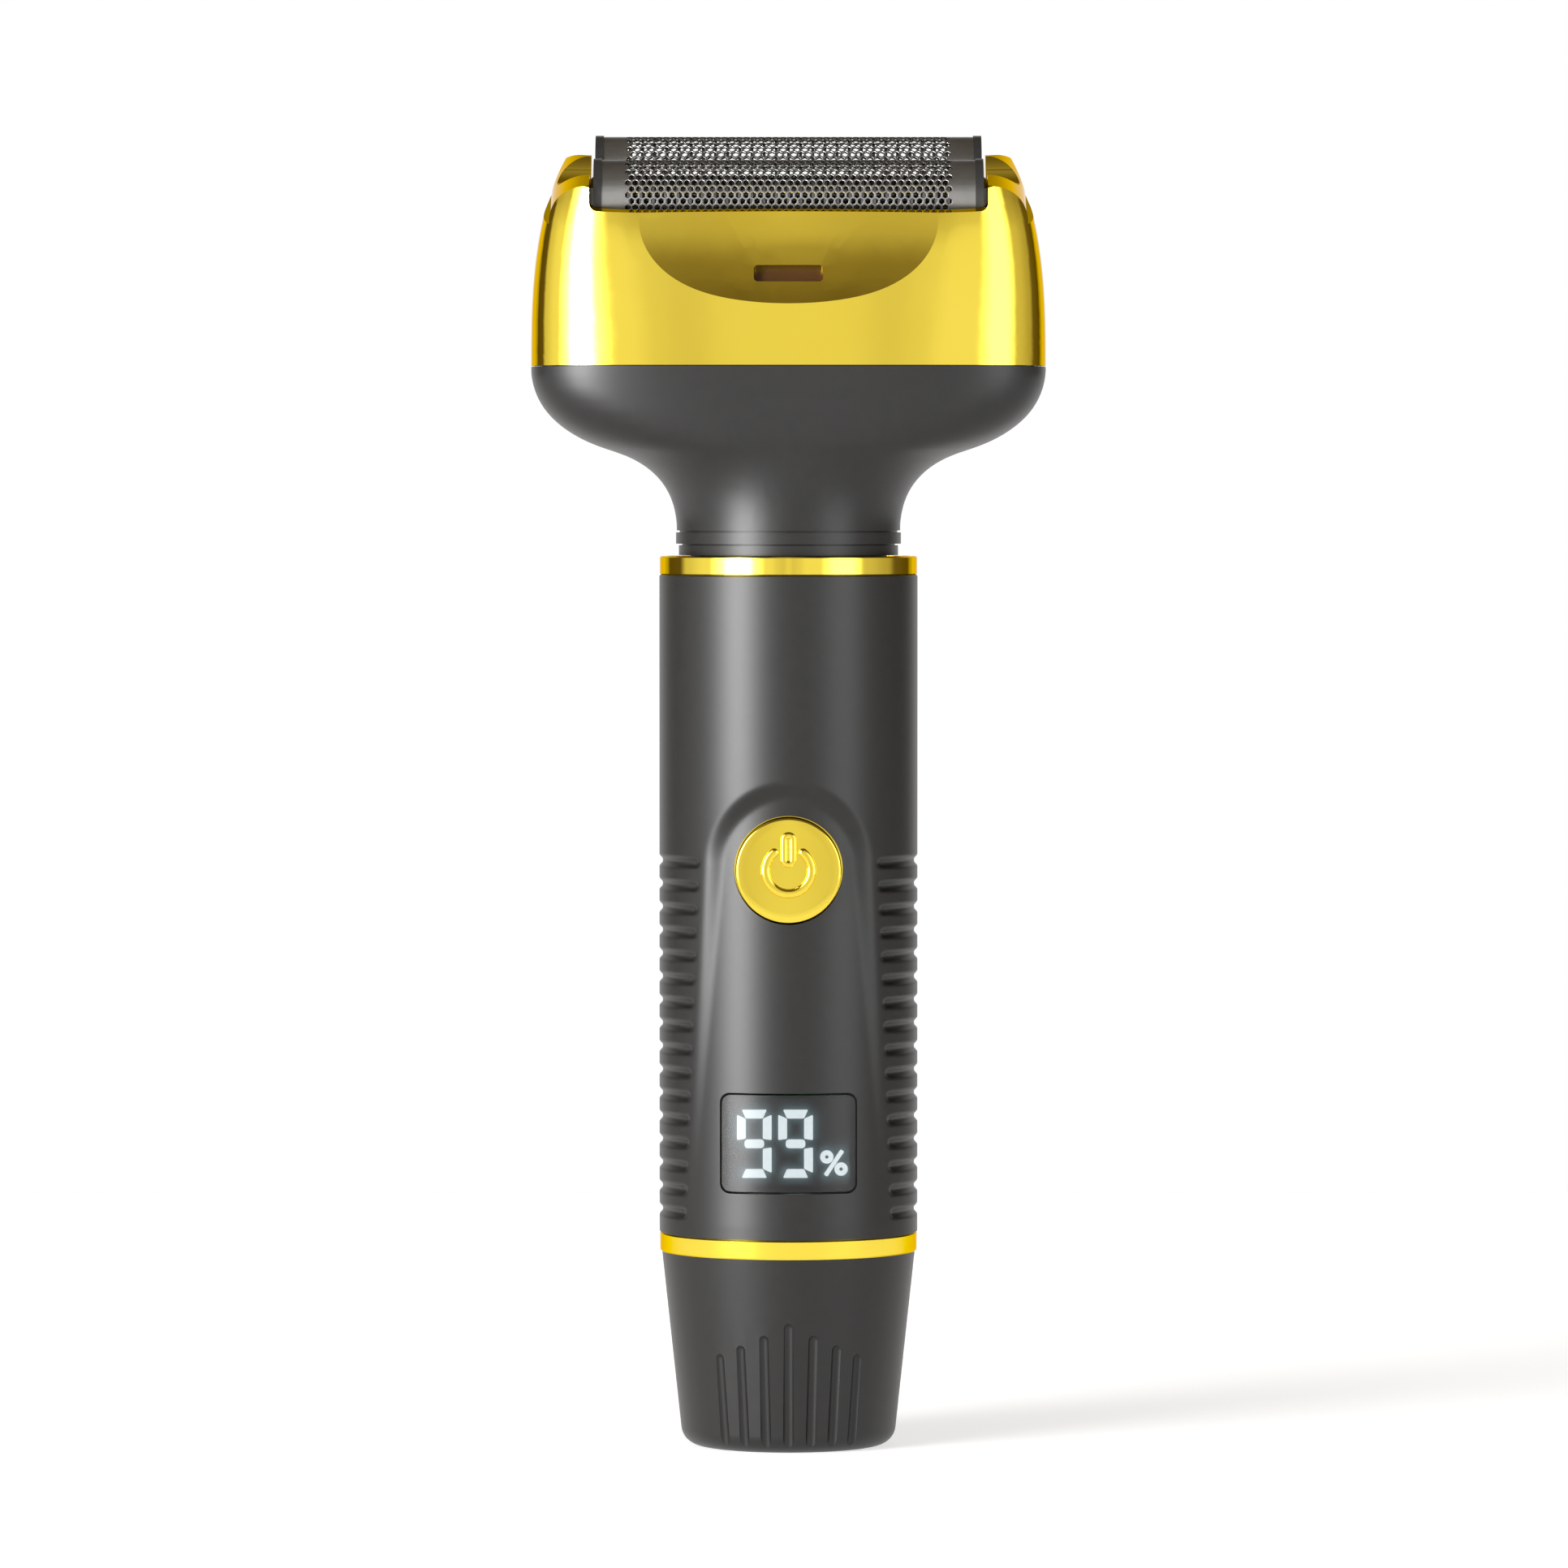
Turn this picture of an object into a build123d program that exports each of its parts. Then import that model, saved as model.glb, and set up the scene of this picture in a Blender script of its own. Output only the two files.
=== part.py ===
from build123d import *
import math
import os

# A two-foil shaver: a round handle that stands on its bottom cap, and a T-shaped head pushed onto it.
# Millimetres and degrees. +Z is up, -Y is the front, and the origin is the middle of the foot.

# ---- Driving dimensions: handle ----
barrel_r = 15.9  # outside of the barrel tube
barrel_wall = 1.8
tube_length = 81.0
ring_height = 2.3  # each gold trim ring
ring_band = 0.85  # radial thickness of a trim ring
cap_height = 24.0  # bottom cap below its trim ring
cap_foot_r = 13.0  # cap radius at the floor, before its edge is rounded
cap_edge_round = 2.4
cap_wall = 1.8
spigot_length = 4.7  # bottom cap inside the barrel
fit_gap = 0.05  # between pieces that are pushed together
seal_r = 0.45  # section radius of every rubber ring
edge_break = 0.15  # small chamfer that shows as a seam

# ---- Driving dimensions: front panel, grip, button and window ----
panel_depth = 1.0
panel_arch_r = 10.4
panel_arch_z = 45.6  # arch centre above the lower end of the tube
panel_fade_z = 1.7  # where the panel runs out, above the lower end of the tube
panel_spread = 3.0  # how much each side leans out, in degrees
rib_count = 16
rib_first_z = 2.9  # lowest groove above the lower end of the tube
rib_pitch = 2.865
rib_groove_r = 0.6
rib_low_angle = 54.5  # groove end, measured round from the front
rib_high_angle = 45.8
button_r = 6.45
button_z = 45.15  # above the lower end of the tube
button_gap = 0.18
button_proud = 0.35
button_travel = 0.6
window_width = 16.75
window_height = 12.3
window_corner = 1.2
window_z = 11.85  # above the lower end of the tube
window_gap = 0.25
lens_thickness = 1.0
window_ledge = 0.75
flute_angle = 12.0
flute_tops = (0.646, 0.583, 0.529, 0.479)  # as a share of the cap height, middle flute first
flute_r = 0.72
flute_depth = 0.45

# ---- Driving dimensions: works of the handle ----
motor_r = 10.15
motor_length = 20.3
shaft_r = 1.0
socket_r = 12.2  # bore that takes the head
socket_depth = 7.8
socket_floor = 2.0
socket_step = 0.3  # top of the socket below the top of its ring
battery_r = 7.0
battery_length = 43.0
battery_y = 5.6
board_face_y = -5.2  # face of the chassis that carries the board
board_thickness = 1.2
board_width = 20.0
port_width = 8.94
port_height = 3.26
port_length = 7.3
port_recess = 0.3

# ---- Driving dimensions: head ----
head_gap = 0.12  # head above the upper trim ring
collar_height = 3.03
neck_r = 13.75
head_half_width = 31.6
head_half_depth = 15.6
flare_height = 20.05
housing_wall = 1.6
seam_gap = 0.12
shell_wall = 1.4
seam_power = 3.8  # how square the plan of the head is at the seam
rim_power = 5.2  # and at its rim
foil_axis_rise = 22.3  # foil block above the seam
foil_tilt = 15.2
foil_block_y = -0.4
foil_pitch = 12.4
foil_r = 4.6
foil_sheet = 0.15
foil_half_length = 22.8
foil_cap = 1.0
cutter_gap = 0.05
opening_half_width = 24.3
rim_w = -0.1  # rim of the shell along the foil block's own up direction
ear_top_w = 2.6
ear_side_round = 5.05
ear_side_inset = 7.4  # from the widest part of the head to the middle of that round
ear_front_round = 3.0
ear_rear_round = 9.8
saddle_depth = 2.3
saddle_half_span = 5.0
dish_half_width = 18.4
dish_height = 13.5
dish_depth = 1.1
vent_width = 8.45
vent_height = 2.0
vent_rise = 11.25  # above the seam
vent_floor = 2.4  # middle of the floor behind the widest front of the head
vent_lean = 18.0  # the floor leans back, in degrees
drive_offset = 0.9

# ---- Levels and radii that follow ----
tube_z = cap_height + ring_height
tube_top_z = tube_z + tube_length
handle_top_z = tube_top_z + ring_height
collar_z = handle_top_z + head_gap
housing_z = collar_z + collar_height
seam_z = housing_z + flare_height
foil_axis_z = seam_z + foil_axis_rise
bore_r = barrel_r - barrel_wall
ring_r = barrel_r - fit_gap
step_r = ring_r - ring_band - fit_gap
spigot_r = bore_r - fit_gap
spigot_top_z = tube_z + spigot_length
socket_floor_z = handle_top_z - socket_step - socket_depth
motor_top_z = socket_floor_z - socket_floor
motor_z = motor_top_z - motor_length
board_y = board_face_y - board_thickness
drive_stroke = drive_offset
outline_steps = 32
head = Pos(0, foil_block_y, foil_axis_z) * Rot(foil_tilt, 0, 0)
tilt_sin = math.sin(math.radians(foil_tilt))
tilt_cos = math.cos(math.radians(foil_tilt))

BASE = (Align.CENTER, Align.CENTER, Align.MIN)


# ---- Shapes used by many pieces ----
def rod(radius, low, high, x=0.0, y=0.0):
    return Pos(x, y, low) * Cylinder(radius, high - low, align=BASE)


def pipe(outer, inner, low, high, x=0.0, y=0.0):
    return rod(outer, low, high, x, y) - rod(inner, low, high, x, y)


def block(x, y, z):
    size = [axis[1] - axis[0] for axis in (x, y, z)]
    return Pos(x[0], y[0], z[0]) * Box(*size, align=(Align.MIN, Align.MIN, Align.MIN))


def pin_y(radius, front, back, z, x=0.0):
    """A round pin along Y, from front to back."""
    return Pos(x, front, z) * Rot(-90, 0, 0) * Cylinder(radius, back - front, align=BASE)


def pin_x(radius, half_length, y, z):
    return Pos(0, y, z) * Rot(0, 90, 0) * Cylinder(radius, 2 * half_length)


def slab_y(sketch, front, back, z, x=0.0):
    """A flat shape, drawn as seen from the front, between two depths."""
    face = Plane(origin=(x, front, z), x_dir=(1, 0, 0), z_dir=(0, -1, 0)) * sketch
    return extrude(face, amount=-(back - front))


def turned(points, rounds=()):
    """A solid turned about Z from an outline of (radius, height) points, with some corners rounded."""
    face = make_face(Plane.XZ * Polyline(*points, close=True))
    for corner, radius in rounds:
        vertex = face.vertices().sort_by_distance(Vector(corner[0], 0, corner[1]))[0]
        face = fillet(vertex, radius)
    return revolve(face, Axis.Z)


def outline(height, half_width, half_depth, power, shift=0.0):
    """A level outline between an ellipse (power 2) and a rounded oblong (higher powers)."""
    points = []
    for step in range(outline_steps):
        angle = 2 * math.pi * step / outline_steps
        across = math.cos(angle)
        along = math.sin(angle)
        reach = (abs(across) ** power + abs(along) ** power) ** (-1 / power)
        points.append((half_width * reach * across, half_depth * reach * along + shift, height))
    return Face(Wire([Spline(*points, periodic=True)]))


def coil(radius, wire_r, height, turns):
    path = Helix(pitch=height / turns, height=height, radius=radius)
    section = Plane(origin=path @ 0, z_dir=path % 0) * Circle(wire_r)
    return sweep(section, path=path)


def outer_circles(shape):
    """The round edges of largest radius."""
    circles = shape.edges().filter_by(GeomType.CIRCLE)
    largest = max(circle.radius for circle in circles)
    return [circle for circle in circles if circle.radius > largest - 0.01]


def seal(outer, height):
    """A rubber ring whose outside just meets the bore around it."""
    return Pos(0, 0, height) * Torus(outer - seal_r, seal_r)


def seal_groove(surface_r, height):
    half_width = seal_r + 0.1
    return pipe(surface_r + 1, surface_r - 2 * seal_r, height - half_width, height + half_width)


# ---- Handle shells ----
panel_top_z = tube_z + panel_arch_z + panel_arch_r
panel_end_z = tube_z + panel_fade_z
panel_lean = math.degrees(math.atan(panel_depth / (panel_top_z - panel_end_z)))


def panel_barrel(radius):
    """The barrel leaned back, so that it sinks into the upright one towards the top of the panel."""
    return Pos(0, 0, panel_end_z) * Rot(-panel_lean, 0, 0) * Cylinder(radius, 3 * tube_length)


def panel_front(height):
    """Depth of the panel's surface on the middle line."""
    sunk = (height - panel_end_z) * math.tan(math.radians(panel_lean))
    return -barrel_r + sunk


def panel_cut():
    spread = (panel_arch_z - panel_fade_z + 1) * math.tan(math.radians(panel_spread))
    low_z = panel_fade_z - panel_arch_z - 1
    corners = [
        (-panel_arch_r, 0),
        (panel_arch_r, 0),
        (panel_arch_r + spread, low_z),
        (-panel_arch_r - spread, low_z),
    ]
    arch = make_face(Polyline(*corners, close=True)) + Circle(panel_arch_r)
    return slab_y(arch, -barrel_r - 1, -barrel_r / 2, tube_z + panel_arch_z) - panel_barrel(barrel_r)


def rib_grooves(side):
    """Grooves down one side, each part of a ring set off the axis, so that it fades out at both ends."""
    fade_r = barrel_r + rib_groove_r
    grooves = []
    for index in range(rib_count):
        share = index / (rib_count - 1)
        height = tube_z + rib_first_z + index * rib_pitch
        start = rib_low_angle + (rib_high_angle - rib_low_angle) * share
        reach = fade_r * math.cos(math.radians(90 - start))
        offset = (fade_r ** 2 - barrel_r ** 2) / (2 * (barrel_r - reach))
        grooves.append(Pos(-side * offset, 0, height) * Torus(barrel_r + offset, rib_groove_r))
    return grooves


def window_block(width, height, corner, front, back):
    return slab_y(RectangleRounded(width, height, corner), front, back, tube_z + window_z)


def handle_tube():
    tube = pipe(barrel_r, bore_r, tube_z, tube_top_z)
    tube = chamfer(outer_circles(tube), edge_break)
    tube -= panel_cut()
    for side in (-1, 1):
        tube -= rib_grooves(side)
    tube -= pin_y(button_r + button_gap, -barrel_r - 1, 0, tube_z + button_z)
    pocket = window_block(window_width, window_height, window_corner, -barrel_r - 1, -barrel_r / 2)
    tube -= pocket - panel_barrel(barrel_r - lens_thickness)
    inner_width = window_width - 2 * window_ledge
    inner_height = window_height - 2 * window_ledge
    tube -= window_block(inner_width, inner_height, window_corner - window_ledge / 2, -barrel_r - 1, 0)
    return tube


def display_window():
    width = window_width - 2 * window_gap
    height = window_height - 2 * window_gap
    lens = window_block(width, height, window_corner - window_gap / 2, -barrel_r - 1, -barrel_r / 2)
    return (lens & panel_barrel(barrel_r)) - panel_barrel(barrel_r - lens_thickness)


def trim_ring(low):
    ring = pipe(ring_r, step_r + fit_gap, low, low + ring_height)
    return chamfer(outer_circles(ring), edge_break)


def flute(angle, top_z):
    slope = math.degrees(math.atan((ring_r - cap_foot_r) / cap_height))
    radius = cap_foot_r + (ring_r - cap_foot_r) * top_z / cap_height + flute_r - flute_depth
    groove = Cylinder(flute_r, 2 * cap_height, align=(Align.CENTER, Align.CENTER, Align.MAX)) + Sphere(flute_r)
    return Rot(0, 0, angle) * Pos(radius, 0, top_z) * Rot(0, slope, 0) * groove


def bottom_cap():
    top_r = ring_r - 0.25
    floor_z = cap_wall + 0.4
    inner_foot_r = cap_foot_r - cap_wall
    inner_r = spigot_r - cap_wall
    points = [
        (0, 0),
        (cap_foot_r, 0),
        (top_r, cap_height),
        (step_r, cap_height),
        (step_r, tube_z),
        (spigot_r, tube_z),
        (spigot_r, spigot_top_z),
        (inner_r, spigot_top_z),
        (inner_r, cap_height - 2),
        (inner_foot_r, floor_z),
        (0, floor_z),
    ]
    cap = turned(points, [((cap_foot_r, 0), cap_edge_round), ((inner_foot_r, floor_z), 1.0)])
    for facing in (-90, 90):
        for step, top_share in enumerate(flute_tops):
            for side in {-step, step}:
                cap -= flute(facing + side * flute_angle, top_share * cap_height)
    cap -= seal_groove(spigot_r, bottom_seal_z)
    for side in (-1, 1):
        rib_x = sorted((side * (port_board_half - 1), side * (port_board_half + 1.4)))
        cap += block(rib_x, (port_board_y - 1, port_board_y + 2), (floor_z - 0.2, port_board_top - 3))
    cap -= block((-port_board_half, port_board_half), (port_board_y, port_board_y + 1), (floor_z, port_board_top))
    port = SlotOverall(port_width + 0.4, port_height + 0.4)
    return cap - extrude(port, amount=floor_z)


port_board_half = 7.0
port_board_y = port_height / 2
port_board_top = 18.0
bottom_seal_z = tube_z + spigot_length / 2
socket_seal_z = socket_floor_z + 2.5


def charging_board():
    floor_z = cap_wall + 0.4
    return block((-port_board_half, port_board_half), (port_board_y, port_board_y + 1), (floor_z, port_board_top))


def charging_socket():
    wall = 0.3
    top_z = port_recess + port_length
    shell = extrude(Pos(0, 0, port_recess) * SlotOverall(port_width, port_height), amount=port_length)
    hollow = SlotOverall(port_width - 2 * wall, port_height - 2 * wall)
    shell -= extrude(Pos(0, 0, port_recess) * hollow, amount=port_length - 1)
    tongue = block((-3.35, 3.35), (-0.35, 0.35), (port_recess + 1, top_z - 1))
    return shell + tongue


def top_cap():
    top_z = handle_top_z - socket_step
    points = [
        (0, motor_top_z),
        (spigot_r, motor_top_z),
        (spigot_r, tube_top_z),
        (step_r, tube_top_z),
        (step_r, top_z),
        (socket_r, top_z),
        (socket_r, socket_floor_z),
        (0, socket_floor_z),
    ]
    cap = turned(points) - rod(motor_boss_r + 0.1, motor_top_z, socket_floor_z)
    cap -= seal_groove(spigot_r, socket_seal_z)
    for x in (-motor_screw_x, motor_screw_x):
        cap -= rod(motor_screw_r + 0.1, motor_top_z, socket_floor_z, x)
    return cap


# ---- Works of the handle ----
motor_boss_r = 3.0
motor_screw_x = 6.0
motor_screw_r = 1.0
motor_wall = 0.8
motor_end_height = 1.6
chassis_r = bore_r - 0.3
chassis_floor_z = motor_z - 1.5
chassis_cup_z = motor_z + 0.8
chassis_cup_top_z = motor_z + 6.8
cell_z = spigot_top_z + 1.9
cell_top_z = cell_z + battery_length
tab_thickness = 0.2
screw_x = 8.6
screw_r = 0.8
board_z = spigot_top_z + 2.0
board_top_z = chassis_floor_z - 0.7
screw_heights = (board_z + 14, board_top_z - 2)


def chassis():
    frame = rod(chassis_r, spigot_top_z, chassis_cup_top_z)
    frame -= block((-20, 20), (-20, board_face_y), (spigot_top_z, chassis_cup_z))
    bay_low = cell_z - 2 * tab_thickness
    bay_high = cell_top_z + 2 * tab_thickness
    bay_r = battery_r + 0.15
    frame -= rod(bay_r, bay_low, bay_high, y=battery_y)
    frame -= block((-bay_r, bay_r), (board_face_y, battery_y), (bay_low, bay_high))
    frame -= rod(motor_r + fit_gap, motor_z, chassis_cup_top_z)
    frame -= rod(motor_boss_r, chassis_floor_z, motor_z)
    for x in (-screw_x, screw_x):
        for z in screw_heights:
            frame -= pin_y(screw_r, board_face_y, board_face_y + 3.5, z, x)
    return frame


def battery_cell():
    cell = rod(battery_r, cell_z, cell_top_z, y=battery_y)
    return fillet(cell.edges().filter_by(GeomType.CIRCLE), 0.5)


def battery_tabs():
    tabs = Part()
    for low in (cell_z - tab_thickness, cell_top_z):
        tabs += block((-1.5, 1.5), (board_face_y, battery_y + 2), (low, low + tab_thickness))
    return tabs


def main_board():
    board = block((-board_width / 2, board_width / 2), (board_y, board_face_y), (board_z, board_top_z))
    for x in (-screw_x, screw_x):
        for z in screw_heights:
            board -= pin_y(screw_r + 0.1, board_y, board_face_y, z, x)
    return board


def board_screws():
    screws = Part()
    for x in (-screw_x, screw_x):
        for z in screw_heights:
            screws += pin_y(screw_r, board_y, board_face_y + 3.5, z, x)
            screws += pin_y(1.4, board_y - 0.9, board_y, z, x)
    return screws


def board_chips():
    chips = Part()
    middle = (board_z + board_top_z) / 2
    chips += block((-5.5, -0.5), (board_y - 1.2, board_y), (middle - 2.5, middle + 2.5))
    chips += block((2, 6), (board_y - 1.0, board_y), (middle - 1.5, middle + 1.5))
    chips += pin_y(2.0, board_y - 3.0, board_y, middle - 5.5, 4.0)
    return chips


display_half_width = window_width / 2 - window_ledge
display_front_y = -math.sqrt((bore_r - 0.15) ** 2 - display_half_width ** 2)


def display_module():
    half_height = window_height / 2 - window_ledge
    z = tube_z + window_z
    across = (-display_half_width, display_half_width)
    return block(across, (display_front_y, board_y), (z - half_height, z + half_height))


switch_height = 3.5
switch_front_y = board_y - switch_height
plunger_r = 1.6
plunger_sunk = 1.0
flange_back_y = switch_front_y - 0.9
flange_r = button_r + 0.75


def power_switch():
    z = tube_z + button_z
    body = block((-3, 3), (switch_front_y, board_y), (z - 3, z + 3))
    return body - pin_y(plunger_r + 0.15, switch_front_y, switch_front_y + plunger_sunk + button_travel + 0.4, z)


def switch_plunger():
    return pin_y(plunger_r, flange_back_y, switch_front_y + plunger_sunk, tube_z + button_z)


def power_button():
    z = tube_z + button_z
    front = panel_front(z) - button_proud
    cap = pin_y(button_r, front, flange_back_y, z)
    cap = fillet(cap.edges().sort_by(Axis.Y)[0], 0.35)
    cap += pin_y(flange_r, flange_back_y - 0.7, flange_back_y, z)
    return cap + slab_y(power_mark(), front - 0.25, front, z)


def power_mark():
    """A ring open at the top, with a hollow bar in the gap."""
    middle_r = 2.85
    half_band = 0.5
    gap = math.radians(39)
    ring = Circle(middle_r + half_band) - Circle(middle_r - half_band)
    reach = 2 * middle_r
    gap_x = reach * math.sin(gap)
    gap_z = reach * math.cos(gap)
    wedge = [(0, 0), (gap_x, gap_z), (-gap_x, gap_z)]
    ring -= make_face(Polyline(*wedge, close=True))
    for side in (-1, 1):
        ring += Pos(side * middle_r * math.sin(gap), middle_r * math.cos(gap)) * Circle(half_band)
    bar = SlotOverall(4.27, 1.87, rotation=90) - SlotOverall(2.9, 0.45, rotation=90)
    return ring + Pos(0, 2.54) * bar


def motor_can():
    can = rod(motor_r, motor_z + motor_end_height, motor_top_z)
    can -= rod(motor_r - motor_wall, motor_z + motor_end_height, motor_top_z - motor_wall)
    can += rod(motor_boss_r, motor_top_z, motor_top_z + 1.5)
    can -= rod(shaft_r + fit_gap, motor_z, handle_top_z)
    for x in (-motor_screw_x, motor_screw_x):
        can -= rod(motor_screw_r, motor_top_z - motor_wall, motor_top_z, x)
    return can


def motor_end_cap():
    end = rod(motor_r, motor_z, motor_z + motor_end_height)
    return end - rod(shaft_r + fit_gap, motor_z, motor_z + motor_end_height)


rotor_z = motor_z + 4.5
rotor_top_z = motor_top_z - 3.5
magnet_r = motor_r - motor_wall
rotor_r = magnet_r - 2.1


def motor_magnets():
    ring = pipe(magnet_r, magnet_r - 1.6, rotor_z - 1, rotor_top_z + 1)
    return ring - block((-20, 20), (-3, 3), (rotor_z - 1, rotor_top_z + 1))


def motor_screws():
    screws = Part()
    for x in (-motor_screw_x, motor_screw_x):
        screws += rod(motor_screw_r, motor_top_z - motor_wall - 0.4, socket_floor_z, x)
        screws += rod(1.8, socket_floor_z, socket_floor_z + 0.9, x)
    return screws


def motor_shaft():
    return rod(shaft_r, motor_z - 1, dog_top_z - 1)


def rotor_core():
    core = rod(2.6, rotor_z, rotor_top_z)
    shoes = pipe(rotor_r, rotor_r - 1.1, rotor_z, rotor_top_z)
    for turn in range(3):
        core += Rot(0, 0, 120 * turn) * block((0, rotor_r - 0.6), (-1.4, 1.4), (rotor_z, rotor_top_z))
        slot = block((0, rotor_r + 1), (-0.9, 0.9), (rotor_z, rotor_top_z))
        shoes -= Rot(0, 0, 120 * turn + 60) * slot
    return core + shoes - rod(shaft_r, rotor_z, rotor_top_z)


def rotor_coils():
    core = rotor_core()
    coils = Part()
    for turn in range(3):
        winding = block((3.0, rotor_r - 1.3), (-2.5, 2.5), (rotor_z - 0.8, rotor_top_z + 0.8))
        coils += Rot(0, 0, 120 * turn) * winding - core
    return coils


def commutator():
    return pipe(2.3, shaft_r, motor_z + motor_end_height + 0.4, rotor_z - 0.2)


dog_r = 3.1
dog_z = socket_floor_z + 1.0
dog_top_z = dog_z + 5.0


def drive_dog():
    dog = extrude(Pos(0, 0, dog_z) * RegularPolygon(dog_r, 6), amount=dog_top_z - dog_z)
    return dog - rod(shaft_r, dog_z, dog_top_z - 1)


# ---- Head: housing ----
flare_mid_slope = math.radians(17)


def flare_curves():
    """The two curves of the head's outline seen from the front, as (half-width, height)."""
    mid_x = neck_r + (head_half_width - neck_r) * 0.451
    mid_z = flare_height * 0.489
    along = (math.cos(flare_mid_slope), math.sin(flare_mid_slope))
    lower = Bezier(
        (neck_r, 0),
        (neck_r, flare_height * 0.34),
        (mid_x - 3 * along[0], mid_z - 3 * along[1]),
        (mid_x, mid_z),
    )
    upper = Bezier(
        (mid_x, mid_z),
        (mid_x + 5 * along[0], mid_z + 5 * along[1]),
        (head_half_width, flare_height * 0.711),
        (head_half_width, flare_height),
    )
    return lower, upper


def flare_stations():
    """Points down the outline, each as (height, half-width)."""
    lower, upper = flare_curves()
    points = [lower @ (step / 6) for step in range(7)] + [upper @ (step / 6) for step in range(1, 7)]
    return [(housing_z + point.Y, point.X) for point in points]


def flare_width(height):
    """Half-width of the head at a height, between the stations."""
    stations = flare_stations()
    for (low, low_width), (high, high_width) in zip(stations, stations[1:]):
        if height <= high:
            return low_width + (high_width - low_width) * (height - low) / (high - low)
    return head_half_width


def flare_outline(height, half_width, inset, lift):
    share = (half_width - neck_r) / (head_half_width - neck_r)
    half_depth = neck_r + (head_half_depth - neck_r) * share
    power = 2 + (seam_power - 2) * share
    return outline(height + lift, half_width - inset, half_depth - inset, power)


ledge_z = housing_z + 6.3
cavity_lift = 1.4
deck_z = seam_z - 1.6
deck_inset = 1.0
tongue_r = neck_r - 2.2


def housing_cavity():
    start = ledge_z - cavity_lift
    sections = [flare_outline(start, flare_width(start), housing_wall, cavity_lift)]
    for height, half_width in flare_stations():
        if height > start + 0.5:
            sections.append(flare_outline(height, half_width, housing_wall, cavity_lift))
    return loft(sections)


def head_housing():
    sections = [flare_outline(height, half_width, 0, 0) for height, half_width in flare_stations()]
    housing = loft(sections)
    housing -= rod(tongue_r, housing_z, ledge_z)
    housing -= housing_cavity()
    seat = outline(deck_z, head_half_width - deck_inset - 0.3, head_half_depth - deck_inset - 0.1, seam_power)
    housing -= extrude(seat, amount=seam_z - deck_z)
    for x in (-support_screw_x, support_screw_x):
        housing -= rod(support_screw_r, ledge_z - 2.5, ledge_z, x)
    return housing


def neck_collar():
    foot_z = socket_floor_z + 1.1
    inner_r = tongue_r - 1.8
    spigot = socket_r - 0.2
    points = [
        (inner_r, foot_z),
        (spigot, foot_z),
        (spigot, collar_z),
        (neck_r - 0.25, collar_z),
        (neck_r - 0.25, collar_z + 1.2),
        (neck_r - 0.65, collar_z + 1.2),
        (neck_r - 0.65, collar_z + 1.4),
        (neck_r + 0.1, collar_z + 1.4),
        (neck_r + 0.1, housing_z - 0.25),
        (neck_r - 0.35, housing_z - 0.25),
        (neck_r - 0.35, housing_z),
        (tongue_r - fit_gap, housing_z),
        (tongue_r - fit_gap, ledge_z - 1.8),
        (inner_r, ledge_z - 1.8),
    ]
    return turned(points) - seal_groove(spigot, neck_seal_z)


neck_seal_z = socket_floor_z + 3.6
bush_r = 3.0
spindle_r = 1.5
bush_z = ledge_z - 4.0
support_top_z = ledge_z + 2.0
bush_top_z = support_top_z + 1.4
support_screw_x = tongue_r + 1.05
support_screw_r = 0.7
rod_r = 0.8
rod_y = 5.6
rod_half = 11.2
post_inner = 9.4


def shaft_support():
    start = ledge_z - cavity_lift
    plate = flare_outline(start, flare_width(start), housing_wall + 0.1, cavity_lift)
    support = extrude(plate, amount=support_top_z - ledge_z)
    support += rod(bush_r + 1.8, bush_z, support_top_z)
    for x in (-1, 1):
        for y in (-1, 1):
            across = sorted((x * post_inner, x * rod_half))
            deep = sorted((y * (rod_y - 1.2), y * (rod_y + 1.2)))
            support += block(across, deep, (support_top_z, rod_z + 1.4))
    support -= rod(bush_r, bush_z, support_top_z)
    for side in (-1, 1):
        support -= pin_x(rod_r, rod_half, side * rod_y, rod_z)
        support -= rod(support_screw_r + 0.1, ledge_z, support_top_z, side * support_screw_x)
    return support


def shaft_bush():
    return pipe(bush_r, spindle_r + fit_gap, bush_z, bush_top_z)


def support_screws():
    screws = Part()
    for x in (-support_screw_x, support_screw_x):
        screws += rod(support_screw_r, ledge_z - 2.5, support_top_z, x)
        screws += rod(1.15, support_top_z, support_top_z + 0.7, x)
    return screws


def guide_rods():
    return pin_x(rod_r, rod_half, rod_y, rod_z) + pin_x(rod_r, rod_half, -rod_y, rod_z)


def hair_deck():
    half_width = head_half_width - deck_inset - 0.3 - fit_gap
    half_depth = head_half_depth - deck_inset - 0.1 - fit_gap
    deck = extrude(outline(deck_z, half_width, half_depth, seam_power), amount=seam_z - deck_z)
    lip = shell_wall + 0.6
    lip_width = head_half_width - lip
    lip_depth = head_half_depth - lip
    rim = extrude(outline(seam_z, lip_width, lip_depth, seam_power), amount=1.2)
    rim -= extrude(outline(seam_z, lip_width - 1, lip_depth - 1, seam_power), amount=1.2)
    room = drive_stroke + 0.4
    slot = block((-riser_x - room, riser_x + room), (riser_front - 0.4, riser_back + 0.4), (deck_z, seam_z))
    return deck + rim - slot


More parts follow.
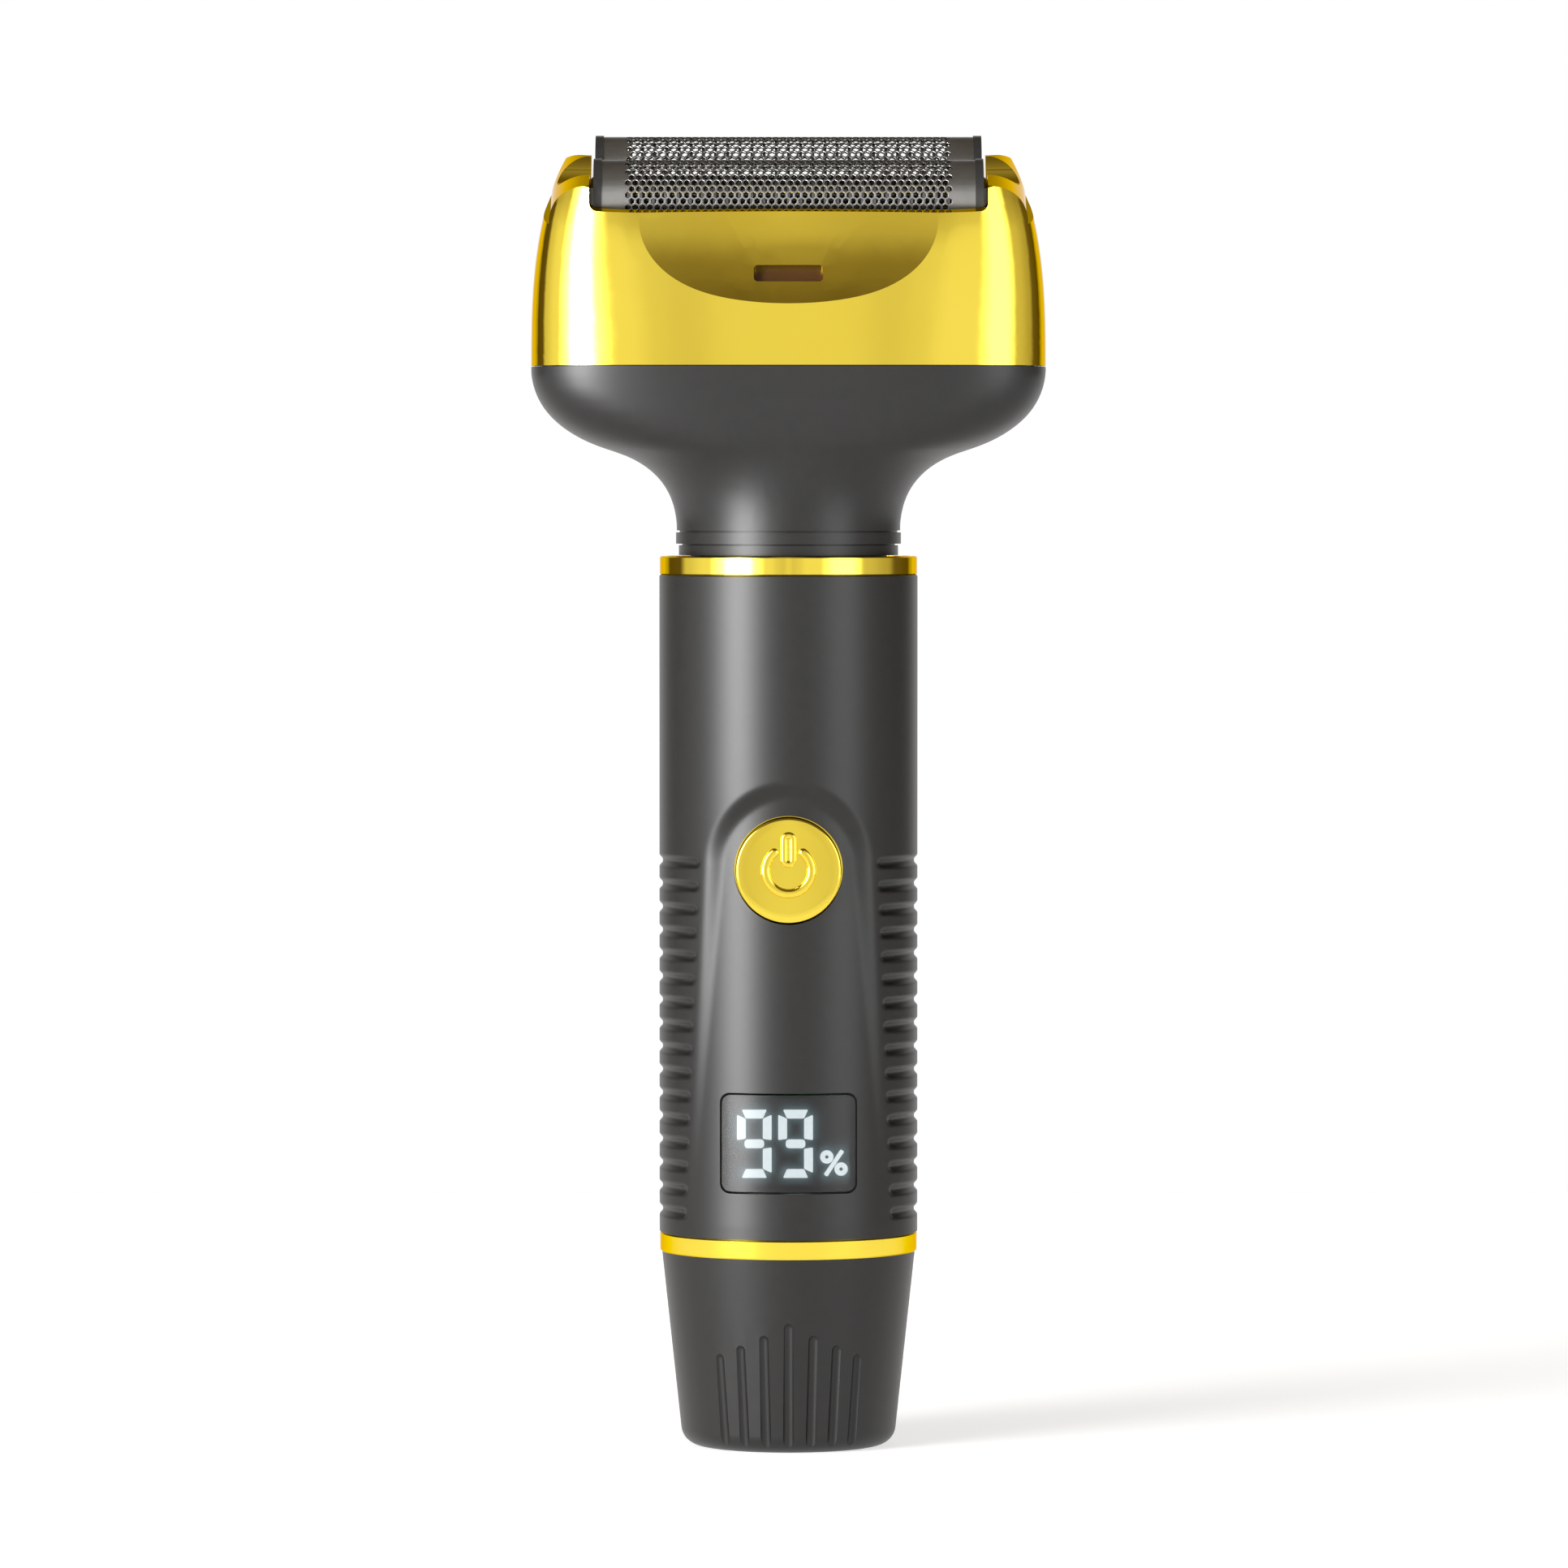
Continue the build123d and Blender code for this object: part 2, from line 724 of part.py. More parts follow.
# ---- Head: drive ----
eccentric_z = bush_top_z + 0.4
eccentric_top_z = eccentric_z + 2.5
pin_top_z = eccentric_top_z + 1.8
bridge_z = pin_top_z + 0.3
bridge_top_z = bridge_z + 2.0
rod_z = (bridge_z + bridge_top_z) / 2
riser_x = 3.5
riser_front = -3.0
riser_back = 6.0
bar_w = -14.2
bar_low_w = -16.0
post_x = 10.0
post_r = 1.0
holder_w = -8.0
holder_top_w = -2.6
holder_half = 20.6
holder_v = 3.6
cutter_r = foil_r - foil_sheet - cutter_gap
cup_z = dog_z + 1.1
cup_top_z = dog_top_z + 2.0


def drive_shaft():
    cup = rod(dog_r + 1.3, cup_z, cup_top_z)
    cup -= extrude(Pos(0, 0, cup_z) * RegularPolygon(dog_r + 0.35, 6), amount=dog_top_z + 0.5 - cup_z)
    return cup + rod(spindle_r, cup_top_z, eccentric_z)


def eccentric():
    disc = rod(3.5, eccentric_z, eccentric_top_z)
    return disc + rod(1.0, eccentric_top_z, pin_top_z, x=drive_offset)


def drive_bridge():
    plate = block((-7.6, 7.6), (-rod_y - 1.6, rod_y + 1.6), (bridge_z, bridge_top_z))
    slot = SlotOverall(2 * (drive_offset + 1.0) + 0.4, 2.1, rotation=90)
    plate -= extrude(Pos(0, 0, bridge_z) * slot, amount=bridge_top_z - bridge_z)
    for side in (-1, 1):
        plate -= pin_x(rod_r + fit_gap, rod_half, side * rod_y, rod_z)
    middle_w = (bar_w + bar_low_w) / 2
    riser = block((-riser_x, riser_x), (riser_front, riser_back), (bridge_top_z, foil_axis_z))
    riser -= head * block((-30, 30), (-30, 30), (middle_w, 30))
    bar_v = foil_pitch / 2 + 2.2
    bar = head * block((-post_x - 6, post_x + 6), (-bar_v, bar_v), (bar_low_w, bar_w))
    bridge = plate + riser + bar
    for v in (-foil_pitch / 2, foil_pitch / 2):
        for x in (-post_x, post_x):
            bridge += head * rod(post_r, bar_w, holder_w + 1.7, x, v)
    return bridge


def cutter_springs(v):
    spring = coil(1.75, 0.25, holder_w - bar_w - 0.6, 4)
    springs = Part()
    for x in (-post_x, post_x):
        springs += head * Pos(x, v, bar_w + 0.3) * spring
    return springs


def cutter_holder(v):
    holder = block((-holder_half, holder_half), (-holder_v, holder_v), (holder_w, holder_top_w))
    for x in (-post_x, post_x):
        holder -= rod(post_r + 0.12, holder_w, holder_w + 3.3, x)
    return head * Pos(0, v, 0) * holder


def cutter_blades(v):
    """Thin arches in a row, which run just under the foil."""
    arch = Circle(cutter_r) - Circle(cutter_r - 1.2)
    arch &= Pos(0, holder_top_w + cutter_r) * Rectangle(4 * cutter_r, 2 * cutter_r)
    pitch = 1.5
    thickness = 0.35
    count = int((holder_half - 1) / pitch)
    blade = extrude(Plane.YZ * arch, amount=thickness / 2, both=True)
    blades = Part()
    for index in range(-count, count + 1):
        blades += Pos(index * pitch, 0, 0) * blade
    return head * Pos(0, v, 0) * blades


# ---- Head: foils ----
rail_v = foil_r + 0.45
rail_low_w = -7.0
rail_top_w = -1.5
foot_top_w = -5.6
foot_x = 26.4
frame_w = -5.5
frame_top_w = -2.2
frame_x = 27.2
shelf_w = -12.0
float_x = 24.9


def foil_sheet_part(v):
    length = 2 * foil_half_length
    leg = -rail_low_w - 1
    outer = Circle(foil_r) + Pos(0, -leg / 2) * Rectangle(2 * foil_r, leg)
    inner_r = foil_r - foil_sheet
    inner = Circle(inner_r) + Pos(0, -leg / 2 - 1) * Rectangle(2 * inner_r, leg + 2)
    outer -= Pos(0, -leg - foil_r) * Rectangle(4 * foil_r, 2 * foil_r)
    sheet = extrude(Plane.YZ * (outer - inner), amount=length / 2, both=True)
    return head * Pos(0, v, 0) * sheet


def foil_carrier(v):
    cap_r = foil_r + 0.15
    face = Circle(cap_r) + Pos(0, rail_low_w / 2) * Rectangle(2 * cap_r, -rail_low_w)
    face += Pos(0, (rail_low_w + rail_top_w) / 2) * Rectangle(2 * rail_v, rail_top_w - rail_low_w)
    carrier = Part()
    for side in (-1, 1):
        near = side * foil_half_length
        carrier += Pos(near, 0, 0) * extrude(Plane.YZ * face, amount=side * foil_cap)
        foot = sorted((near, side * foot_x))
        carrier += block(foot, (-2, 2), (rail_low_w, foot_top_w))
        rail = sorted((side * foil_r, side * rail_v))
        length = (-foil_half_length - 0.5, foil_half_length + 0.5)
        carrier += block(length, rail, (rail_low_w, rail_top_w))
    return head * Pos(0, v, 0) * carrier


def foil_frame():
    """An H of plastic that hangs under the ears of the shell and holds both foil carriers."""
    inner_x = foil_half_length + foil_cap + 0.25
    frame = block((-inner_x, inner_x), (-0.5, 0.5), (frame_w, frame_top_w))
    for side in (-1, 1):
        frame += block(sorted((side * inner_x, side * frame_x)), (-8, 8), (frame_w, frame_top_w))
        wall = sorted((side * (foot_x + 0.3), side * (frame_x + 0.2)))
        frame += block(wall, (-8, 8), (shelf_w, frame_top_w))
        frame += block(sorted((side * 22.4, side * frame_x)), (-8, 8), (shelf_w, shelf_w + 1))
    return head * frame


def foil_springs(v):
    spring = coil(1.3, 0.2, rail_low_w - shelf_w - 1 - 0.5, 3)
    springs = Part()
    for x in (-float_x, float_x):
        springs += head * Pos(x, v, shelf_w + 1.25) * spring
    return springs


shell_taper = 2.6  # how far each side leans in by the height of the foil axis
shell_lean = 2.4  # how far the front leans back by that height


def shell_front(height):
    """Depth of the shell's front face on the middle line."""
    share = max((height - seam_z) / foil_axis_rise, 0)
    return -head_half_depth + shell_lean * share ** 2


def shell_outline(height, inset):
    share = max((height - seam_z) / foil_axis_rise, 0)
    half_width = head_half_width - shell_taper * share ** 2.8 - inset
    lean = shell_lean / 2 * share ** 2
    power = seam_power + (rim_power - seam_power) * share ** 2
    return outline(height, half_width, head_half_depth - lean - inset, power, lean)


def shell_block(low, inset):
    top = foil_axis_z + 6
    count = 7
    return loft([shell_outline(low + (top - low) * step / count, inset) for step in range(count + 1)])


def over_shoulder(middle, radius, low, side):
    """The region outside a round shoulder that starts level at the top of the ears."""
    reach = 2 * head_half_width
    height = 30
    region = Pos(middle + side * reach / 2, low + height / 2) * Rectangle(reach, height)
    return region - Pos(middle, ear_top_w - radius) * Circle(radius)


def shoulder_v(wall_y, radius, side):
    """Where a shoulder starts, so that its arc ends on an upright wall."""
    return (wall_y - side * radius - foil_block_y + (ear_top_w - radius) * tilt_sin) / tilt_cos


def ear_trim():
    """Everything above the ears: their level top, the rounds on all sides and the dip between the foils."""
    reach = 2 * head_half_width
    side_x = head_half_width - ear_side_inset
    side_low = ear_top_w - ear_side_round
    across = Pos(0, ear_top_w + 15) * Rectangle(2 * reach, 30)
    across += over_shoulder(side_x, ear_side_round, side_low, 1)
    across += over_shoulder(-side_x, ear_side_round, side_low, -1)
    front_wall = shell_front(foil_axis_z - 1)
    front_low = ear_top_w - ear_front_round * 0.6
    along = over_shoulder(shoulder_v(front_wall, ear_front_round, -1), ear_front_round, front_low, -1)
    rear_low = ear_top_w - ear_rear_round * (1 + tilt_sin)
    along += over_shoulder(shoulder_v(head_half_depth, ear_rear_round, 1), ear_rear_round, rear_low, 1)
    trim = extrude(Plane.XZ * across, amount=reach, both=True)
    trim += extrude(Plane.YZ * along, amount=reach, both=True)
    dip_r = (saddle_half_span ** 2 + saddle_depth ** 2) / (2 * saddle_depth)
    return head * (trim + pin_x(dip_r, reach, 0, ear_top_w - saddle_depth + dip_r))


def shell_dish(extra):
    """A shallow hollow in the front face, part of a wide ellipsoid that leans with the face."""
    rim_z = foil_axis_z - 4.0
    ahead = 6.0
    face_fall = 0.43  # how far the face has turned away at the sides of the hollow
    deep = ahead + dish_depth
    half_width = dish_half_width / math.sqrt(1 - ((ahead + face_fall) / deep) ** 2)
    half_height = dish_height / math.sqrt(1 - (ahead / deep) ** 2)
    hollow = scale(Sphere(1), by=(half_width + extra, deep + extra, half_height + extra))
    lean = math.degrees(math.atan((shell_front(rim_z) - shell_front(rim_z - 8)) / 8))
    return Pos(0, shell_front(rim_z), rim_z + 1) * Rot(-lean, 0, 0) * Pos(0, -ahead, 0) * hollow


def vent_pocket(height):
    floor_y = vent_floor - head_half_depth
    pocket = slab_y(RectangleRounded(vent_width, vent_height, 0.5), -barrel_r, floor_y + 1, height)
    behind = block((-vent_width, vent_width), (0, 4), (-4, 4))
    return pocket - Pos(0, floor_y, height) * Rot(-vent_lean, 0, 0) * behind


def foil_shell():
    low = seam_z + seam_gap
    shell = shell_block(low, 0) - ear_trim()
    hollow = shell_block(low - 0.5, shell_wall)
    for side in (-1, 1):
        across = sorted((side * opening_half_width, side * 2 * head_half_width))
        hollow -= head * block(across, (-30, 30), (frame_top_w, 30))
    vent_z = seam_z + vent_rise
    hollow -= block((-6, 6), (-barrel_r, -head_half_depth + 3.6), (vent_z - 2.5, vent_z + 2.5))
    hollow -= shell_dish(shell_wall - 0.2)
    shell -= hollow
    mouth = block((-opening_half_width, opening_half_width), (-30, 30), (rim_w, 30))
    mouth = fillet(mouth.edges().filter_by(Axis.Y).group_by(Axis.Z)[0], 0.9)
    shell -= head * mouth
    shell -= shell_dish(0)
    return shell - vent_pocket(vent_z)


parts = {
    "handle_tube": handle_tube,
    "display_window": display_window,
    "upper_trim_ring": lambda: trim_ring(tube_top_z),
    "lower_trim_ring": lambda: trim_ring(cap_height),
    "bottom_cap": bottom_cap,
    "bottom_seal_ring": lambda: seal(spigot_r, bottom_seal_z),
    "charging_board": charging_board,
    "charging_socket": charging_socket,
    "head_socket": top_cap,
    "socket_seal_ring": lambda: seal(spigot_r, socket_seal_z),
    "chassis": chassis,
    "battery_cell": battery_cell,
    "battery_tabs": battery_tabs,
    "main_board": main_board,
    "board_screws": board_screws,
    "board_chips": board_chips,
    "display_module": display_module,
    "power_switch": power_switch,
    "switch_plunger": switch_plunger,
    "power_button": power_button,
    "motor_can": motor_can,
    "motor_end_cap": motor_end_cap,
    "motor_magnets": motor_magnets,
    "motor_screws": motor_screws,
    "motor_shaft": motor_shaft,
    "rotor_core": rotor_core,
    "rotor_coils": rotor_coils,
    "commutator": commutator,
    "drive_dog": drive_dog,
    "head_housing": head_housing,
    "neck_collar": neck_collar,
    "neck_seal_ring": lambda: seal(socket_r - 0.2, neck_seal_z),
    "shaft_support": shaft_support,
    "shaft_bush": shaft_bush,
    "support_screws": support_screws,
    "guide_rods": guide_rods,
    "hair_deck": hair_deck,
    "drive_shaft": drive_shaft,
    "eccentric": eccentric,
    "drive_bridge": drive_bridge,
    "foil_shell": foil_shell,
    "foil_frame": foil_frame,
}

sides = {"front": -foil_pitch / 2, "rear": foil_pitch / 2}

os.makedirs("parts", exist_ok=True)
for node, build in parts.items():
    export_step(build(), f"parts/{node}.step")
for side, place in sides.items():
    export_step(cutter_blades(place), f"parts/{side}_cutter_blades.step")
    export_step(cutter_holder(place), f"parts/{side}_cutter_holder.step")
    export_step(cutter_springs(place), f"parts/{side}_cutter_springs.step")
    export_step(foil_sheet_part(place), f"parts/{side}_foil.step")
    export_step(foil_carrier(place), f"parts/{side}_foil_carrier.step")
    export_step(foil_springs(place), f"parts/{side}_foil_springs.step")
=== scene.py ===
import math

import bmesh
import bpy
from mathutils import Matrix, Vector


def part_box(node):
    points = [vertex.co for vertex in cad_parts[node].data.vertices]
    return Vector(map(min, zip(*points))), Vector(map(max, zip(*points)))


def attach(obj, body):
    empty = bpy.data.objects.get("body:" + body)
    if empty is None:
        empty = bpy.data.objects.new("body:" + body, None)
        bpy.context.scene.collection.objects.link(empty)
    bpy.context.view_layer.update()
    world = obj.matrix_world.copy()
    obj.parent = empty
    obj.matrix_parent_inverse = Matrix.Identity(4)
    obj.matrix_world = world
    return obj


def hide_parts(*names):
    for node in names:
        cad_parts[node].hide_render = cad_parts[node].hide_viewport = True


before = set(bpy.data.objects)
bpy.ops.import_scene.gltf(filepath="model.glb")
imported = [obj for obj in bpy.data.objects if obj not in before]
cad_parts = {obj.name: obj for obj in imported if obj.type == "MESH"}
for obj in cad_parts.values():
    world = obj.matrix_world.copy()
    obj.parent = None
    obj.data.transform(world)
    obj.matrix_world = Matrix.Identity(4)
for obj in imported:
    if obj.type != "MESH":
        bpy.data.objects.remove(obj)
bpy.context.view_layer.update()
print("stage: frame loaded")

mm = 0.001
quarterTurn = math.radians(90)
lyingToUpright = (quarterTurn, 0, 0)


# Small helpers
def deselectAll():
    if bpy.context.object and bpy.context.object.mode != "OBJECT":
        bpy.ops.object.mode_set(mode="OBJECT")
    bpy.ops.object.select_all(action="DESELECT")


def only(piece):
    deselectAll()
    piece.select_set(True)
    bpy.context.view_layer.objects.active = piece


def editMode(selectBy="FACE"):
    bpy.ops.object.mode_set(mode="EDIT")
    bpy.ops.mesh.select_mode(type=selectBy)


def objectMode():
    bpy.ops.object.mode_set(mode="OBJECT")


def named(name):
    piece = bpy.context.object
    piece.name = name
    piece.data.name = name
    return piece


def settled(piece):
    only(piece)
    bpy.ops.object.transform_apply(location=True, rotation=True, scale=True)
    return piece


def pick(piece, kind, wanted):
    bm = bmesh.from_edit_mesh(piece.data)
    for seq in (bm.verts, bm.edges, bm.faces):
        for item in seq:
            item.select = False
    for item in getattr(bm, kind):
        if wanted(item):
            item.select_set(True)
    bm.select_flush_mode()
    bmesh.update_edit_mesh(piece.data)


def applied(piece, kind, **settings):
    only(piece)
    modifier = piece.modifiers.new(kind.lower(), kind)
    for key, value in settings.items():
        setattr(modifier, key, value)
    bpy.ops.object.modifier_apply(modifier=modifier.name)
    return piece


def copyOf(piece, name):
    twin = piece.copy()
    twin.data = piece.data.copy()
    twin.name = name
    twin.data.name = name
    bpy.context.collection.objects.link(twin)
    return twin


def joined(pieces, name):
    deselectAll()
    for piece in pieces:
        piece.select_set(True)
    bpy.context.view_layer.objects.active = pieces[0]
    bpy.ops.object.join()
    return named(name)


# Materials
def material(name, **settings):
    made = bpy.data.materials.new(name)
    made.use_nodes = True
    shader = made.node_tree.nodes["Principled BSDF"]
    for key, value in settings.items():
        shader.inputs[key.replace("_", " ")].default_value = value
    return made


def node(made, kind, **inputs):
    added = made.node_tree.nodes.new("ShaderNode" + kind)
    for key, value in inputs.items():
        added.inputs[key.replace("_", " ")].default_value = value
    return added


def link(made, source, target):
    made.node_tree.links.new(source, target)


def noise(made, scale, detail=2.0):
    place = node(made, "TexCoord")
    grain = node(made, "TexNoise", Scale=scale, Detail=detail)
    link(made, place.outputs["Object"], grain.inputs["Vector"])
    return grain.outputs["Fac"]


def between(made, factor, low, high):
    spread = node(made, "MapRange")
    spread.inputs["To Min"].default_value = low
    spread.inputs["To Max"].default_value = high
    link(made, factor, spread.inputs["Value"])
    return spread.outputs["Result"]


tintFrom, tintTo = 0.3, 0.7  # part of the noise that the colour varies over


def tinted(made, factor, dark, light):
    ramp = node(made, "ValToRGB")
    for point, place, colour in zip(ramp.color_ramp.elements, (tintFrom, tintTo), (dark, light)):
        point.color = (*colour, 1)
        point.position = place
    link(made, factor, ramp.inputs["Fac"])
    link(made, ramp.outputs["Color"], shaderOf(made).inputs["Base Color"])


def shaderOf(made):
    return made.node_tree.nodes["Principled BSDF"]


def maths(made, operation, *values):
    result = node(made, "Math")
    result.operation = operation
    for index, value in enumerate(values):
        if isinstance(value, (int, float)):
            result.inputs[index].default_value = value
        else:
            link(made, value, result.inputs[index])
    return result.outputs["Value"]


def bumped(made, factor, strength, distance):
    bump = node(made, "Bump", Strength=strength, Distance=distance)
    link(made, factor, bump.inputs["Height"])
    link(made, bump.outputs["Normal"], shaderOf(made).inputs["Normal"])


tintCoarser = 9  # colour varies more slowly than the grain


def surface(name, dark, light, roughness, grain, bump=0.0, depth=0.01 * mm, **settings):
    made = material(name, **settings)
    fine = noise(made, grain)
    tinted(made, noise(made, grain / tintCoarser), dark, light)
    link(made, between(made, fine, *roughness), shaderOf(made).inputs["Roughness"])
    if bump:
        bumped(made, fine, bump, depth)
    return made


finishes = {
    "soft_black": surface("softBlack", (0.0060, 0.0058, 0.0055), (0.0075, 0.0073, 0.0069),
                          (0.36, 0.42), 6500, bump=0.16, depth=0.02 * mm, Specular_IOR_Level=0.42),
    "gold_plate": surface("goldPlate", (0.905, 0.685, 0.070), (0.925, 0.715, 0.085),
                          (0.06, 0.08), 500, Metallic=1.0, Specular_Tint=(0.80, 0.55, 0.10, 1)),
    "black_plastic": surface("blackPlastic", (0.012, 0.012, 0.012), (0.018, 0.018, 0.018),
                             (0.28, 0.38), 4000, bump=0.1, depth=0.02 * mm),
    "natural_plastic": surface("naturalPlastic", (0.70, 0.68, 0.62), (0.78, 0.77, 0.72), (0.40, 0.5), 3000,
                               bump=0.1, depth=0.02 * mm),
    "foil_steel": surface("foilSteel", (0.25, 0.25, 0.245), (0.30, 0.30, 0.295), (0.32, 0.38), 3000,
                          Metallic=1.0),
    "steel": surface("turnedSteel", (0.50, 0.50, 0.50), (0.62, 0.62, 0.62),
                     (0.22, 0.34), 3000, Metallic=1.0),
    "blades": surface("bladeSteel", (0.10, 0.10, 0.10), (0.16, 0.16, 0.16),
                      (0.25, 0.35), 3000, Metallic=1.0),
    "copper": surface("enamelledCopper", (0.62, 0.24, 0.09), (0.74, 0.33, 0.14),
                      (0.25, 0.35), 3000, Metallic=1.0),
    "bronze": surface("bronzeBush", (0.50, 0.34, 0.14), (0.60, 0.42, 0.20),
                      (0.30, 0.42), 3000, Metallic=1.0),
    "magnet": surface("magnetGrey", (0.10, 0.10, 0.105), (0.14, 0.14, 0.145), (0.45, 0.60), 3000),
    "rubber_seal": surface("sealRubber", (0.018, 0.018, 0.018), (0.026, 0.026, 0.026), (0.55, 0.68), 3000),
    "battery_sleeve": surface("batterySleeve", (0.03, 0.18, 0.42), (0.04, 0.24, 0.50), (0.22, 0.30), 900),
    "board_green": surface("boardGreen", (0.015, 0.13, 0.055), (0.025, 0.19, 0.08), (0.30, 0.42), 2000),
    "chip_black": surface("chipBlack", (0.018, 0.018, 0.018), (0.028, 0.028, 0.028), (0.40, 0.55), 4000),
    "smoked_lens": surface("smokedLens", (0.010, 0.010, 0.010), (0.012, 0.012, 0.012), (0.30, 0.34), 400,
                           Alpha=0.55, IOR=1.49, Specular_IOR_Level=0.5),
    "display_body": surface("displayBody", (0.010, 0.010, 0.011), (0.014, 0.014, 0.015),
                            (0.35, 0.45), 3000),
}

slotNodes = {
    "soft_black": ["handle_tube", "bottom_cap", "head_housing", "neck_collar"],
    "gold_plate": ["upper_trim_ring", "lower_trim_ring", "power_button", "foil_shell"],
    "black_plastic": ["head_socket", "chassis", "front_foil_carrier", "rear_foil_carrier", "foil_frame",
                      "hair_deck", "shaft_support", "power_switch", "drive_shaft"],
    "natural_plastic": ["drive_bridge", "front_cutter_holder", "rear_cutter_holder", "drive_dog",
                        "motor_end_cap", "switch_plunger"],
    "foil_steel": ["front_foil", "rear_foil"],
    "steel": ["front_cutter_blades", "rear_cutter_blades", "motor_can", "motor_shaft", "rotor_core",
              "guide_rods", "charging_socket", "eccentric", "support_screws", "motor_screws",
              "board_screws", "front_cutter_springs", "rear_cutter_springs", "front_foil_springs",
              "rear_foil_springs", "battery_tabs"],
    "copper": ["rotor_coils", "commutator"],
    "bronze": ["shaft_bush"],
    "magnet": ["motor_magnets"],
    "rubber_seal": ["socket_seal_ring", "bottom_seal_ring", "neck_seal_ring"],
    "battery_sleeve": ["battery_cell"],
    "board_green": ["main_board", "charging_board"],
    "chip_black": ["board_chips"],
    "smoked_lens": ["display_window"],
    "display_body": ["display_module"],
}


def dress(piece, finish):
    piece.data.materials.clear()
    piece.data.materials.append(finishes[finish])


for slot, names in slotNodes.items():
    for name in names:
        dress(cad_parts[name], slot)
for name in ("front_cutter_blades", "rear_cutter_blades"):
    dress(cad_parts[name], "blades")
# Box round the faces of the slot's floor, which get painted shade
ventFloor = ((-4.3 * mm, -13.6 * mm, 142.9 * mm), (4.3 * mm, -12.6 * mm, 145.3 * mm))
facingFront = -0.5


def paintShadeOnVentFloor(shell):  # painted shade: the floor of the small slot gets a dark amber colour that stands in for the shade in the recess
    # dark amber painted shade for the recess floor
    shade = surface("ventPaintedShade", (0.030, 0.012, 0.003), (0.045, 0.018, 0.004), (0.22, 0.30), 900)
    shell.data.materials.append(shade)
    for face in shell.data.polygons:
        place = shell.matrix_world @ face.center
        inside = all(low < at < high for low, at, high in zip(ventFloor[0], place, ventFloor[1]))
        if inside and face.normal.y < facingFront:
            face.material_index = 1


# paints shade onto the slot floor of the foil shell
paintShadeOnVentFloor(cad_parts["foil_shell"])
bare = sorted(set(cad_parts) - {name for names in slotNodes.values() for name in names})
if bare:
    raise SystemExit("no finish for " + ", ".join(bare))
print("stage: CAD nodes dressed")


# Perforated foils
foilSizes = {
    "pitch": 0.9 * mm,  # hole to hole along a row
    "rowPitch": 0.7794 * mm,
    "web": 0.24 * mm,
    "webRound": 0.035 * mm,
    "holes": 44,
    "rows": 24,
    "halfLength": 22.8 * mm,
    "radius": 4.6 * mm,
    "leg": 6.0 * mm,
    "sheet": 0.15 * mm,
    "tilt": math.radians(15.2),
    "axisY": -0.4 * mm,
    "axisZ": 155.1 * mm,
    "spread": 6.2 * mm,
    "weld": 0.02 * mm,
    "smooth": math.radians(40),
}


def foilTile():
    size = foilSizes
    deselectAll()
    bpy.ops.mesh.primitive_circle_add(vertices=6, radius=size["pitch"] / math.sqrt(3), fill_type="NGON")
    tile = named("foilTile")
    editMode()
    bpy.ops.mesh.select_all(action="SELECT")
    bpy.ops.mesh.inset(thickness=size["web"] / 2 - size["webRound"])
    bpy.ops.mesh.inset(thickness=size["webRound"], depth=-size["webRound"])
    bpy.ops.mesh.delete(type="FACE")
    objectMode()
    return tile


def foilSheet(name):
    size = foilSizes
    tile = foilTile()
    applied(tile, "ARRAY", count=size["holes"], use_relative_offset=False, use_constant_offset=True,
            constant_offset_displace=(size["pitch"], 0, 0), use_merge_vertices=True,
            merge_threshold=size["weld"] / 2)
    nextRow = copyOf(tile, "nextRow")
    nextRow.location = (size["pitch"] / 2, size["rowPitch"], 0)
    sheet = joined([tile, nextRow], name)
    applied(sheet, "ARRAY", count=size["rows"] // 2, use_relative_offset=False, use_constant_offset=True,
            constant_offset_displace=(0, 2 * size["rowPitch"], 0))
    across = (size["holes"] - 0.5) * size["pitch"]
    sheet.location = (-across / 2, -(size["rows"] - 1) / 2 * size["rowPitch"], 0)
    settled(sheet)
    editMode("VERT")
    bpy.ops.mesh.select_all(action="SELECT")
    bpy.ops.mesh.remove_doubles(threshold=size["weld"])
    objectMode()
    return sheet


def stretchEdge(sheet, axis, side, limit):
    spots = [v.co[axis] * side for v in sheet.data.vertices]
    rim = max(spots)
    step = foilSizes["pitch"] / 2 if axis == 0 else foilSizes["pitch"] / math.sqrt(3) / 2
    near = foilSizes["weld"]
    editMode("EDGE")
    pick(sheet, "edges", lambda e: e.is_boundary and all(
        abs(v.co[axis] * side - rim) < near or abs(v.co[axis] * side - rim + step) < near for v in e.verts))
    move = [0, 0, 0]
    move[axis] = side * step
    bpy.ops.mesh.extrude_edges_move(TRANSFORM_OT_translate={"value": move})
    flat = [1, 1, 1]
    flat[axis] = 0
    target = [0, 0, 0]
    target[axis] = side * limit
    bpy.ops.transform.resize(value=flat, center_override=target)
    objectMode()


def bentFoil(name, v, body):  # v is the way back from the middle of the head, along its tilt
    size = foilSizes
    sheet = foilSheet(name)
    arc = math.pi * size["radius"]
    for side in (-1, 1):
        stretchEdge(sheet, 0, side, size["halfLength"])
    for side in (-1, 1):
        stretchEdge(sheet, 1, side, arc / 2 + size["leg"])
    sheet.rotation_euler = lyingToUpright
    settled(sheet)
    share = size["leg"] / (arc + 2 * size["leg"])
    applied(sheet, "SIMPLE_DEFORM", deform_method="BEND", deform_axis="X", angle=math.pi,
            limits=(share, 1 - share))
    applied(sheet, "SOLIDIFY", thickness=size["sheet"], offset=-1)
    sheet.location = (0, -size["radius"], 0)
    settled(sheet)
    sheet.rotation_euler = (size["tilt"] - quarterTurn, 0, 0)
    settled(sheet)
    back, up = v * math.cos(size["tilt"]), v * math.sin(size["tilt"])
    sheet.location = (0, size["axisY"] + back, size["axisZ"] + up)
    settled(sheet)
    bpy.ops.object.shade_smooth_by_angle(angle=size["smooth"])
    dress(sheet, "foil_steel")
    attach(sheet, body)
    return sheet


